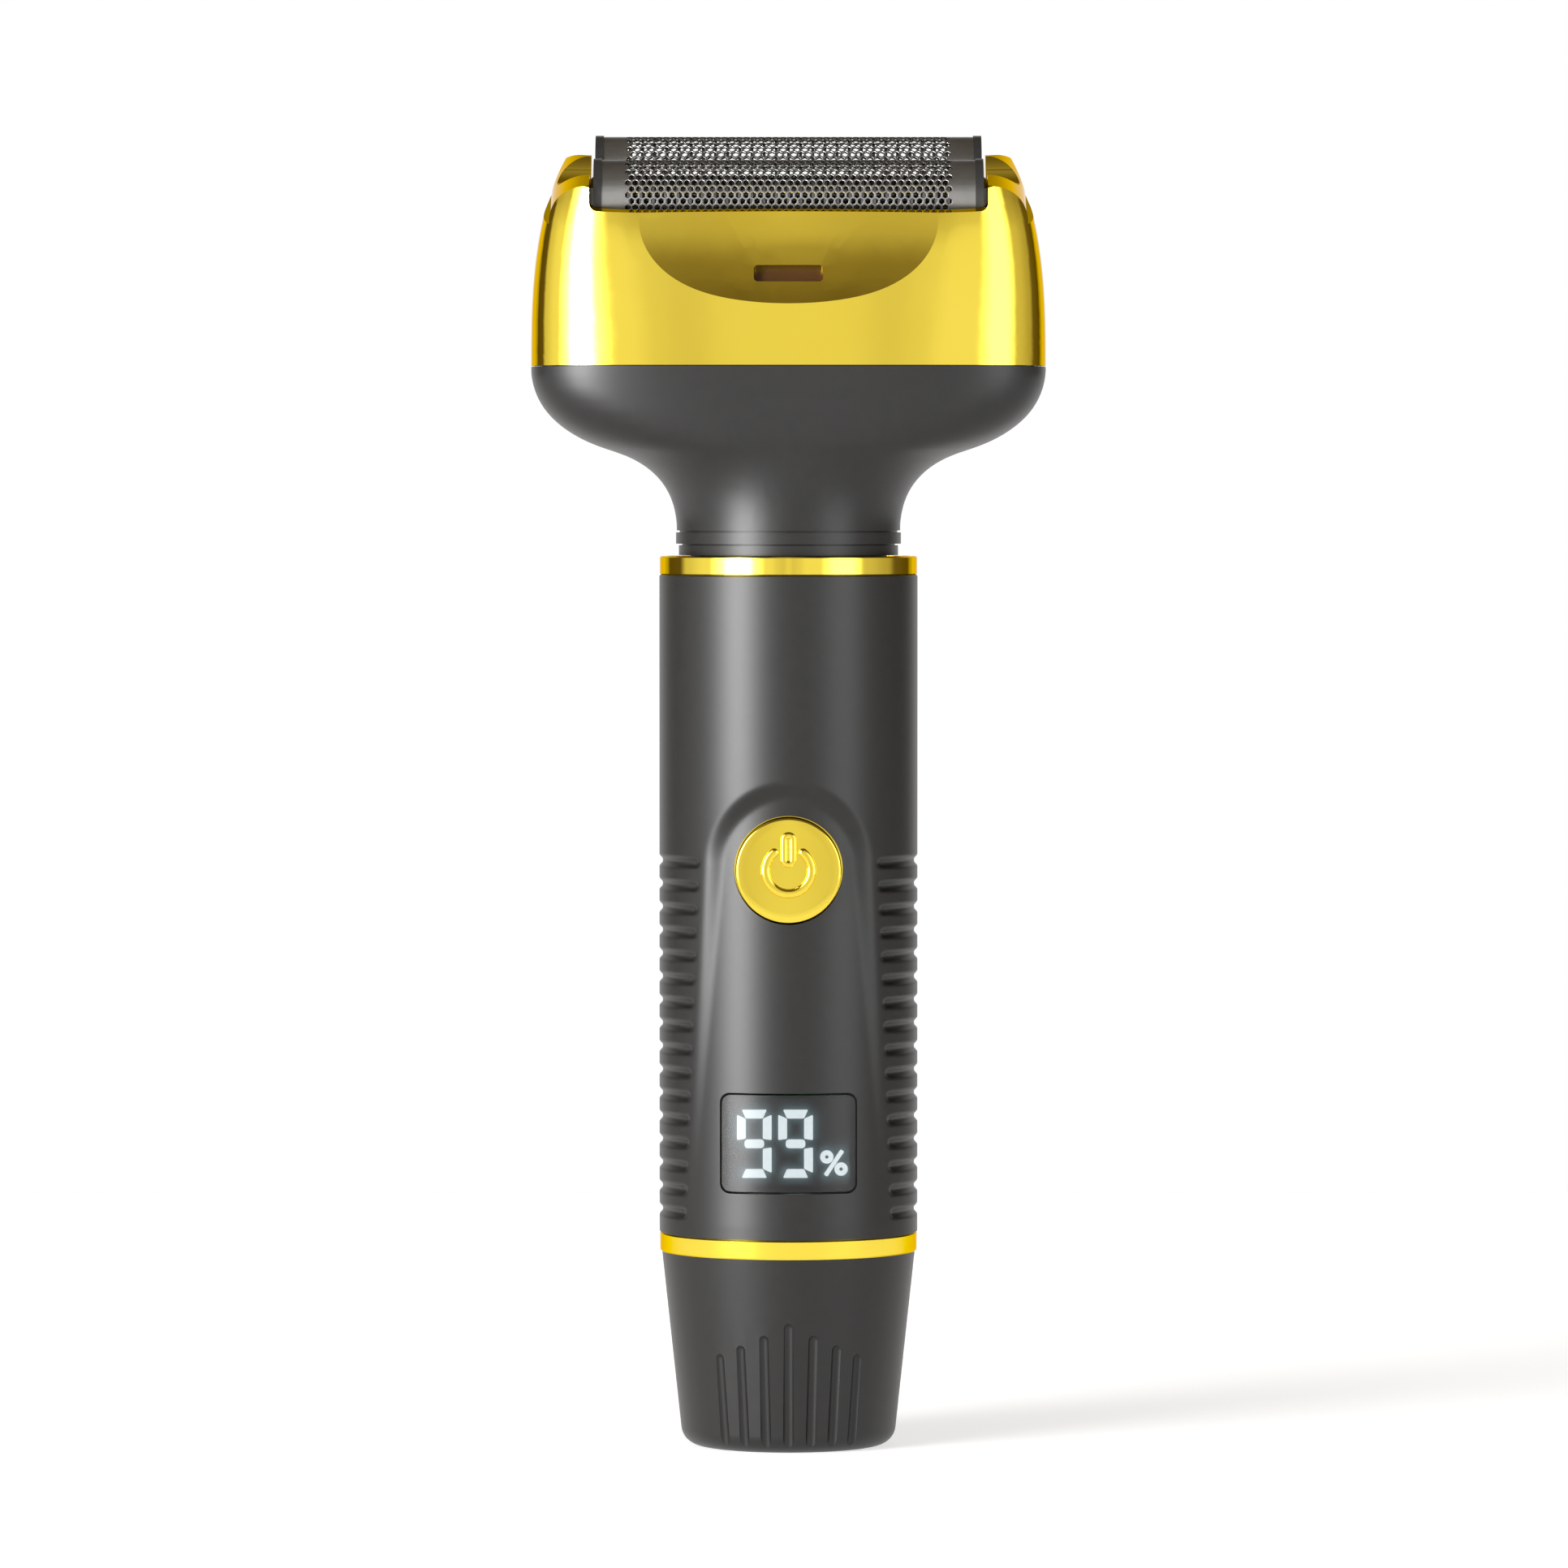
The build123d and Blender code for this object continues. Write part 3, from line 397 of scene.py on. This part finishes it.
frontFoil = bentFoil("frontFoilMesh", -foilSizes["spread"], "front_foil_unit")
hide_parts("front_foil")
rearFoil = bentFoil("rearFoilMesh", foilSizes["spread"], "rear_foil_unit")
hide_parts("rear_foil")
print("stage: foils made")


# Handle tube
tubeSizes = {
    "radius": 15.9 * mm,
    "bore": 14.1 * mm,
    "low": 26.3 * mm,
    "high": 107.3 * mm,
    "edge": 0.15 * mm,
    "around": 256,
    "panelEnd": 28.0 * mm,  # where the sunk panel runs out
    "panelLean": math.radians(1.055),
    "archRadius": 10.4 * mm,
    "archZ": 71.9 * mm,
    "archSpread": math.radians(3.0),
    "slopeTop": 2.3 * mm,  # width of the soft slope round the panel, at the arch and at its foot
    "slopeFoot": 1.1 * mm,
    "grooves": 16,
    "grooveFirst": 29.2 * mm,
    "groovePitch": 2.865 * mm,
    "grooveHalf": 0.76 * mm,
    "grooveDepth": 0.42 * mm,
    "grooveEnds": (math.radians(54.5), math.radians(45.8)),  # of the lowest and highest, from the front
    "buttonZ": 71.45 * mm,
    "buttonHole": 6.63 * mm,
    "windowZ": 38.15 * mm,
    "windowSize": (16.75 * mm, 12.3 * mm),
    "windowCorner": 1.2 * mm,
    "windowLedge": 0.75 * mm,
    "openingCorner": 0.5 * mm,
    "recessClear": 0.05 * mm,
    "cutFront": -18 * mm,
    "cutBack": -8 * mm,
    "grooveSteep": 1.25,
    "rowsPerGroove": 14,
    "grooveMargin": 0.6,  # rows go this share of a pitch past the first and last groove
    "archStep": 0.36 * mm,
    "archMargin": 0.5 * mm,
    "plainRows": 8,
    "weld": 0.01 * mm,
    "smooth": math.radians(38),
}


def eased(share):
    share = min(max(share, 0), 1)
    return share * share * (3 - 2 * share)


def panelSink(turn, z):
    size = tubeSizes
    x = abs(size["radius"] * math.sin(turn))
    if math.cos(turn) <= 0 or z < size["panelEnd"]:
        return 0
    if z >= size["archZ"]:
        inside = size["archRadius"] - math.hypot(x, z - size["archZ"])
    else:
        side = size["archRadius"] + (size["archZ"] - z) * math.tan(size["archSpread"]) - x
        inside = side * math.cos(size["archSpread"])
    share = (z - size["panelEnd"]) / (size["archZ"] - size["panelEnd"])
    slope = size["slopeFoot"] + (size["slopeTop"] - size["slopeFoot"]) * min(max(share, 0), 1)
    deep = max(z - size["panelEnd"], 0) * math.tan(size["panelLean"]) * math.cos(turn)
    return deep * eased(inside / slope)


def grooveSink(turn, z):
    size = tubeSizes
    index = round((z - size["grooveFirst"]) / size["groovePitch"])
    index = min(max(index, 0), size["grooves"] - 1)
    off = z - size["grooveFirst"] - index * size["groovePitch"]
    if abs(off) > size["grooveHalf"]:
        return 0
    share = index / (size["grooves"] - 1)
    low, high = size["grooveEnds"]
    end = low + (high - low) * share
    turn = min(abs(turn), math.pi - abs(turn))
    short = max(end - turn, 0) * size["radius"]
    away = math.hypot(short, off) / size["grooveHalf"]
    return size["grooveDepth"] * eased(size["grooveSteep"] * (1 - away))


def tubeRows():
    size = tubeSizes
    fine = size["groovePitch"] / size["rowsPerGroove"]
    rows = [size["low"] + size["edge"]]
    top = size["grooveFirst"] + (size["grooves"] - 1 + size["grooveMargin"]) * size["groovePitch"]
    z = size["grooveFirst"] - size["groovePitch"] * size["grooveMargin"]
    while z < top:
        rows.append(z)
        z += fine
    archTop = size["archZ"] + size["archRadius"]
    while z < archTop + size["archMargin"]:
        rows.append(z)
        z += size["archStep"]
    steps = size["plainRows"]
    rows += [z + (size["high"] - size["edge"] - z) * step / steps for step in range(steps + 1)]
    return rows


def handleTube():
    size = tubeSizes
    inset = size["radius"] - size["edge"]
    ring = [(size["bore"], size["low"]), (inset, size["low"])]
    ring += [(size["radius"], z) for z in tubeRows()]
    ring += [(inset, size["high"]), (size["bore"], size["high"]), (size["bore"], size["low"])]
    deselectAll()
    bpy.ops.mesh.primitive_grid_add(x_subdivisions=size["around"], y_subdivisions=len(ring) - 1, size=2)
    tube = named("handleTubeMesh")
    for v in tube.data.vertices:
        turn = v.co.x * math.pi
        radius, z = ring[round((v.co.y + 1) / 2 * (len(ring) - 1))]
        if radius == size["radius"]:
            radius -= max(panelSink(turn, z), grooveSink(turn, z))
        v.co = (radius * math.sin(turn), -radius * math.cos(turn), z)
    editMode("VERT")
    bpy.ops.mesh.select_all(action="SELECT")
    bpy.ops.mesh.remove_doubles(threshold=size["weld"])
    bpy.ops.mesh.normals_make_consistent(inside=False)
    objectMode()
    return tube


def cutter(name, halfWidth, halfHeight, corner, front, back, z):
    deselectAll()
    bpy.ops.mesh.primitive_cube_add(size=1, location=(0, (front + back) / 2, z))
    block = named(name)
    block.scale = (2 * halfWidth, back - front, 2 * halfHeight)
    settled(block)
    editMode("EDGE")
    pick(block, "edges", lambda e: abs(e.verts[0].co.y - e.verts[1].co.y) > 0.5 * (back - front))
    bpy.ops.mesh.bevel(offset=corner, segments=6)
    objectMode()
    return block


def cutAway(piece, tool):
    applied(piece, "BOOLEAN", operation="DIFFERENCE", solver="EXACT", object=tool)
    bpy.data.objects.remove(tool)


def openTube(tube):  # the button's hole, and the window's recess and opening
    size = tubeSizes
    deselectAll()
    front, back = size["cutFront"], size["cutBack"]
    bpy.ops.mesh.primitive_cylinder_add(vertices=96, radius=size["buttonHole"], depth=back - front + 2 * mm,
                                        location=(0, (front + back) / 2, size["buttonZ"]),
                                        rotation=lyingToUpright)
    cutAway(tube, settled(named("buttonHole")))
    halfWidth, halfHeight = size["windowSize"][0] / 2, size["windowSize"][1] / 2
    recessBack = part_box("display_window")[1].y + size["recessClear"]
    cutAway(tube, cutter("windowRecess", halfWidth, halfHeight, size["windowCorner"], front, recessBack,
                         size["windowZ"]))
    ledge = size["windowLedge"]
    cutAway(tube, cutter("windowOpening", halfWidth - ledge, halfHeight - ledge, size["openingCorner"],
                         front, back, size["windowZ"]))


handleTubePiece = handleTube()
openTube(handleTubePiece)
only(handleTubePiece)
bpy.ops.object.shade_smooth_by_angle(angle=tubeSizes["smooth"])
dress(handleTubePiece, "soft_black")
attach(handleTubePiece, "handle")
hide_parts("handle_tube")
print("stage: handle tube made")


# Power button
buttonSizes = {
    "radius": 6.45 * mm,
    "edge": 0.35 * mm,
    "dome": 0.10 * mm,
    "flange": 0.7 * mm,
    "ringRadius": 2.8 * mm,
    "ringBand": 0.55 * mm,
    "gap": math.radians(39),
    "barBand": 0.40 * mm,
    "barRing": 0.56 * mm,
    "barStraight": 2.4 * mm,
    "barRise": 2.54 * mm,
    "rise": 0.28 * mm,
    "faceRings": 6,
    "symbolSink": 0.85,  # share of the dome that the symbol's middle stands in
    "edgeFinder": 0.01 * mm,
    "faceArea": mm ** 2,
    "smooth": math.radians(40),
}


def powerButton():
    size = buttonSizes
    low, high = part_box("power_button")
    front = low.y + size["rise"]
    z = tubeSizes["buttonZ"]
    discBack = high.y - size["flange"]
    deselectAll()
    bpy.ops.mesh.primitive_cylinder_add(vertices=128, radius=size["radius"], depth=discBack - front,
                                        location=(0, (front + discBack) / 2, z),
                                        rotation=lyingToUpright)
    disc = settled(named("buttonDisc"))
    editMode("EDGE")
    pick(disc, "edges", lambda e: all(v.co.y < front + size["edgeFinder"] for v in e.verts))
    bpy.ops.mesh.bevel(offset=size["edge"], segments=5)
    bpy.ops.mesh.select_mode(type="FACE")
    pick(disc, "faces", lambda f: f.normal.y < -0.99 and f.calc_area() > size["faceArea"])
    rings = size["faceRings"]
    inner = size["radius"] - size["edge"]
    for ring in range(rings):
        bpy.ops.mesh.inset(thickness=inner / (rings + 0.5))
        far = inner * (1 - (ring + 1) / (rings + 0.5))
        near = inner * (1 - ring / (rings + 0.5))
        bpy.ops.transform.translate(value=(0, -size["dome"] * (near ** 2 - far ** 2) / inner ** 2, 0))
    objectMode()
    bpy.ops.mesh.primitive_cylinder_add(vertices=96, radius=(high.x - low.x) / 2, depth=size["flange"],
                                        location=(0, high.y - size["flange"] / 2, z),
                                        rotation=lyingToUpright)
    flange = settled(named("buttonFlange"))
    pieces = [disc, flange]
    face = front - size["dome"] * size["symbolSink"]
    bpy.ops.mesh.primitive_torus_add(major_radius=size["ringRadius"], minor_radius=size["ringBand"],
                                     major_segments=96, minor_segments=16, rotation=lyingToUpright)
    ring = settled(named("symbolRing"))
    editMode("FACE")
    pick(ring, "faces", lambda f: abs(math.atan2(f.calc_center_median().x, f.calc_center_median().z))
         < size["gap"])
    bpy.ops.mesh.delete(type="FACE")
    objectMode()
    pieces.append(ring)
    for side in (-1, 1):
        angle = side * size["gap"]
        bpy.ops.mesh.primitive_uv_sphere_add(segments=20, ring_count=12, radius=size["ringBand"], location=(
            size["ringRadius"] * math.sin(angle), 0, size["ringRadius"] * math.cos(angle)))
        pieces.append(settled(named("symbolEnd")))
    bpy.ops.mesh.primitive_torus_add(major_radius=size["barRing"], minor_radius=size["barBand"],
                                     major_segments=48, minor_segments=14, rotation=lyingToUpright)
    bar = settled(named("symbolBar"))
    editMode("VERT")
    for side in (-1, 1):
        pick(bar, "verts", lambda v: v.co.z * side > size["edgeFinder"] / 10)
        bpy.ops.transform.translate(value=(0, 0, side * size["barStraight"] / 2))
    objectMode()
    bar.location = (0, 0, size["barRise"])
    pieces.append(settled(bar))
    for piece in pieces[2:]:
        piece.scale = (1, size["rise"] / size["ringBand"], 1)
        piece.location = (0, face, z)
        settled(piece)
    button = joined(pieces, "powerButtonMesh")
    bpy.ops.object.shade_smooth_by_angle(angle=size["smooth"])
    return button


buttonPiece = powerButton()
dress(buttonPiece, "gold_plate")
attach(buttonPiece, "button")
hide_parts("power_button")
print("stage: power button made")


# Battery figures
figures = {
    "stroke": 1.08 * mm,
    "acrossLength": 3.06 * mm,
    "uprightLength": 3.1 * mm,
    "middleLength": 2.4 * mm,
    "side": 1.58 * mm,  # from the middle of a figure to its uprights
    "level": 3.63 * mm,  # and to its top and bottom bars
    "uprightLevel": 2.0 * mm,
    "mitre": 0.48 * mm,
    "corner": 0.14 * mm,
    "middleCorner": 0.4 * mm,
    "thick": 0.06 * mm,
    "places": (-4.18 * mm, 0.86 * mm),
    "middleZ": 37.92 * mm,
    "lift": 0.1 * mm,  # in front of the module
    "percentX": 5.55 * mm,
    "percentZ": 35.57 * mm,
    "percentRing": 0.82 * mm,
    "percentBand": 0.60 * mm,
    "percentAcross": 0.87 * mm,
    "percentUp": 0.74 * mm,
    "slash": (3.7 * mm, 0.53 * mm),
    "slashTurn": math.radians(56),
    "haloReach": 0.75 * mm,
    "haloLift": 0.05 * mm,
    "haloInset": 0.1 * mm,
    "haloGrid": (76, 54),
}
litLines = []  # ends of every lit stroke, for the halo


def litBar(x, z, length, turn=0, mitres=(0, 0), thick=figures["stroke"], corner=figures["corner"]):
    deselectAll()
    bpy.ops.mesh.primitive_plane_add(size=1)
    bar = named("litBar")
    bar.scale = (length, thick, 1)
    settled(bar)
    editMode("VERT")
    for side, mitre in zip((-1, 1), mitres):
        pick(bar, "verts", lambda v: v.co.x * side > 0 and v.co.y < 0)
        bpy.ops.transform.translate(value=(-side * mitre, 0, 0))
    bpy.ops.mesh.select_all(action="SELECT")
    bpy.ops.mesh.bevel(offset=corner, segments=3, affect="VERTICES")
    objectMode()
    bar.rotation_euler = (quarterTurn, -turn, 0)
    bar.location = (x, 0, z)
    reach = (length - thick) / 2
    litLines.append(((x - reach * math.cos(turn), z - reach * math.sin(turn)),
                     (x + reach * math.cos(turn), z + reach * math.sin(turn)), thick / 2))
    return settled(bar)


def nine(x, z):
    size = figures
    up = quarterTurn
    long = size["mitre"]
    short = long / 3
    across, upright = size["acrossLength"], size["uprightLength"]
    high, low = z + size["uprightLevel"], z - size["uprightLevel"]
    return [
        litBar(x, z + size["level"], across, 0, (long, long)),
        litBar(x, z - size["level"], across, 2 * up, (long, long)),
        litBar(x, z, size["middleLength"], corner=size["middleCorner"]),
        litBar(x - size["side"], high, upright, up, (short, long)),
        litBar(x + size["side"], high, upright, -up, (long, short)),
        litBar(x + size["side"], low, upright, -up, (short, long)),
    ]


def percentSign(x, z):
    size = figures
    length, thick = size["slash"]
    bars = [litBar(x, z, length, size["slashTurn"], thick=thick)]
    for side in (-1, 1):
        deselectAll()
        bpy.ops.mesh.primitive_circle_add(vertices=24, radius=size["percentRing"], fill_type="NGON")
        ring = named("percentRing")
        editMode()
        bpy.ops.mesh.select_all(action="SELECT")
        bpy.ops.mesh.inset(thickness=size["percentBand"])
        bpy.ops.mesh.delete(type="FACE")
        objectMode()
        ring.rotation_euler = lyingToUpright
        place = (x + side * size["percentAcross"], z - side * size["percentUp"])
        ring.location = (place[0], 0, place[1])
        litLines.append((place, (place[0], place[1] + 0.01 * mm), size["percentRing"]))
        bars.append(settled(ring))
    return bars


def litFigures():
    size = figures
    pieces = []
    for x in size["places"]:
        pieces += nine(x, size["middleZ"])
    pieces += percentSign(size["percentX"], size["percentZ"])
    lit = joined(pieces, "batteryFigures")
    lit.location = (0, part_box("display_module")[0].y - size["lift"], 0)
    settled(lit)
    applied(lit, "SOLIDIFY", thickness=size["thick"], offset=0)
    return lit


def strokeDistance(x, z):
    best = 1
    for (x0, z0), (x1, z1), half in litLines:
        dx, dz = x1 - x0, z1 - z0
        along = min(max(((x - x0) * dx + (z - z0) * dz) / (dx * dx + dz * dz), 0), 1)
        best = min(best, math.hypot(x - x0 - along * dx, z - z0 - along * dz) - half)
    return max(best, 0)


def figureHalo():
    size = figures
    low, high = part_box("display_module")
    middleX, middleZ = (low.x + high.x) / 2, (low.z + high.z) / 2
    deselectAll()
    across, upright = size["haloGrid"]
    bpy.ops.mesh.primitive_grid_add(x_subdivisions=across, y_subdivisions=upright, size=2,
                                    rotation=lyingToUpright)
    halo = named("figureHalo")
    inset = size["haloInset"]
    halo.scale = ((high.x - low.x) / 2 - inset, (high.z - low.z) / 2 - inset, 1)
    halo.location = (middleX, low.y - size["haloLift"], middleZ)
    settled(halo)
    glow = halo.data.attributes.new("glow", "FLOAT", "POINT")
    for v in halo.data.vertices:
        glow.data[v.index].value = math.exp(-strokeDistance(v.co.x, v.co.z) / size["haloReach"])
    return halo


def litMaterial():
    made = material("figureLight", Roughness=0.5, Emission_Color=(0.86, 0.97, 1.0, 1))
    tinted(made, noise(made, 900), (0.75, 0.85, 0.9), (0.8, 0.9, 0.95))
    link(made, between(made, noise(made, 2500), 3.2, 3.8), shaderOf(made).inputs["Emission Strength"])
    return made


def haloMaterial():
    made = material("figureGlow", Roughness=0.4, Emission_Color=(0.45, 0.75, 0.85, 1))
    tinted(made, noise(made, 900), (0.010, 0.010, 0.011), (0.013, 0.013, 0.014))
    glow = made.node_tree.nodes.new("ShaderNodeAttribute")
    glow.attribute_name = "glow"
    strength = maths(made, "MULTIPLY", maths(made, "POWER", glow.outputs["Fac"], 1.6), 0.75)
    link(made, strength, shaderOf(made).inputs["Emission Strength"])
    return made


lit = litFigures()
lit.data.materials.clear()
lit.data.materials.append(litMaterial())
halo = figureHalo()
halo.data.materials.append(haloMaterial())
for piece in (lit, halo):
    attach(piece, "handle")
print("stage: figures lit")


# Studio
studio = {
    "cameraPlace": (-0.00055, -1.13, 0.118),
    "cameraFall": math.radians(1.85),
    "lens": 210.6,
    "sensor": 36.0,
    "clip": (0.01, 50),
    "floorSize": 0.8,
}


def addCamera():
    bpy.ops.object.camera_add(location=studio["cameraPlace"],
                              rotation=(quarterTurn - studio["cameraFall"], 0, 0))
    camera = bpy.context.object
    camera.name = "camera"
    camera.data.sensor_width = studio["sensor"]
    camera.data.lens = studio["lens"]
    camera.data.clip_start, camera.data.clip_end = studio["clip"]
    bpy.context.scene.camera = camera


def addFloor():
    deselectAll()
    bpy.ops.mesh.primitive_plane_add(size=studio["floorSize"])
    floor = named("floor")
    paper = material("floorPaper", Roughness=0.9, Emission_Color=(1, 1, 1, 1), Emission_Strength=0.64)
    tinted(paper, noise(paper, 40), (0.58, 0.58, 0.58), (0.60, 0.60, 0.60))
    floor.data.materials.append(paper)


def step(made, value, low, high):
    ramp = node(made, "MapRange")
    ramp.interpolation_type = "SMOOTHSTEP"
    ramp.inputs["From Min"].default_value = low
    ramp.inputs["From Max"].default_value = high
    link(made, value, ramp.inputs["Value"])
    return ramp.outputs["Result"]


def profile(made, value, low, high, stops):
    spread = node(made, "MapRange")
    spread.inputs["From Min"].default_value = low
    spread.inputs["From Max"].default_value = high
    link(made, value, spread.inputs["Value"])
    ramp = node(made, "ValToRGB")
    ramp.color_ramp.interpolation = "EASE"
    points = ramp.color_ramp.elements
    while len(points) < len(stops):
        points.new(0.5)
    for point, (at, level) in zip(points, stops):
        point.position = (at - low) / (high - low)
        point.color = (level, level ** 1.12, level ** 1.3, 1) if level < 1 else (level, level, level, 1)
    link(made, spread.outputs["Result"], ramp.inputs["Fac"])
    return ramp.outputs["Color"]


def blended(made, kind, first, second):
    mix = node(made, "Mix")
    mix.data_type = "RGBA"
    mix.blend_type = kind
    mix.inputs[0].default_value = 1.0
    link(made, first, mix.inputs[6])
    link(made, second, mix.inputs[7])
    return mix.outputs[2]


wallRound = [(-180, 1.0), (-150, 1.0), (-140, 0.6), (-133, 0.12), (-114, 0.12), (-104, 0.75), (-80, 1.0),
             (-16, 1.0), (-9, 0.84), (-4.5, 0.78), (0, 0.92), (4.5, 0.80), (9, 0.86), (16, 1.0), (62, 1.0),
             (75, 0.7), (100, 0.5), (112, 0.15), (134, 0.12), (142, 0.6), (150, 1.0), (180, 1.0)]
wallUp = [(-90, 1.0), (14, 1.0), (20, 0.7), (27, 0.32), (35, 0.16), (50, 0.14), (90, 0.3)]
lamps = [  # azimuth from the front, half width, lowest and highest elevation, soft edge, strength
    (-48, 20, -45, 32, 8, 4.4),
    (-46, 10, -45, 30, 7, 21.0),
    (50, 14, -30, 30, 8, 3.2),
]


def addWorld():
    world = bpy.data.worlds.new("studioWorld")
    bpy.context.scene.world = world
    world.use_nodes = True
    background = world.node_tree.nodes["Background"]
    place = node(world, "TexCoord")
    split = node(world, "SeparateXYZ")
    link(world, place.outputs["Generated"], split.inputs["Vector"])
    ahead = maths(world, "MULTIPLY", split.outputs["Y"], -1)
    turn = maths(world, "DEGREES", maths(world, "ARCTAN2", split.outputs["X"], ahead))
    rise = maths(world, "DEGREES", maths(world, "ARCSINE", split.outputs["Z"]))
    wall = profile(world, turn, -180, 180, wallRound)
    above = profile(world, rise, -90, 90, wallUp)
    fall = maths(world, "MULTIPLY", rise, -1)
    behind = maths(world, "MULTIPLY", step(world, maths(world, "ABSOLUTE", turn), 138, 152),
                   step(world, fall, -40, -14))
    wall = blended(world, "LIGHTEN", wall, step(world, fall, 4, 8))  # the wall is even below the horizon
    total = blended(world, "MULTIPLY", wall, blended(world, "LIGHTEN", above, behind))
    turnBack = maths(world, "MULTIPLY", turn, -1)
    for azimuth, half, low, high, soft, strength in lamps:
        left = step(world, turn, azimuth - half - soft, azimuth - half + soft)
        right = step(world, turnBack, -azimuth - half - soft, -azimuth - half + soft)
        under = step(world, rise, low - soft, low + soft)
        over = step(world, fall, -high - soft, -high + soft)
        across = maths(world, "MULTIPLY", left, right)
        upright = maths(world, "MULTIPLY", under, over)
        patch = maths(world, "MULTIPLY", across, upright)
        total = blended(world, "ADD", total, maths(world, "MULTIPLY", patch, strength))
    link(world, total, background.inputs["Color"])
    background.inputs["Strength"].default_value = 1.0


addCamera()
addFloor()
addWorld()
bpy.context.scene.view_settings.view_transform = "Standard"
print("stage: studio lit")
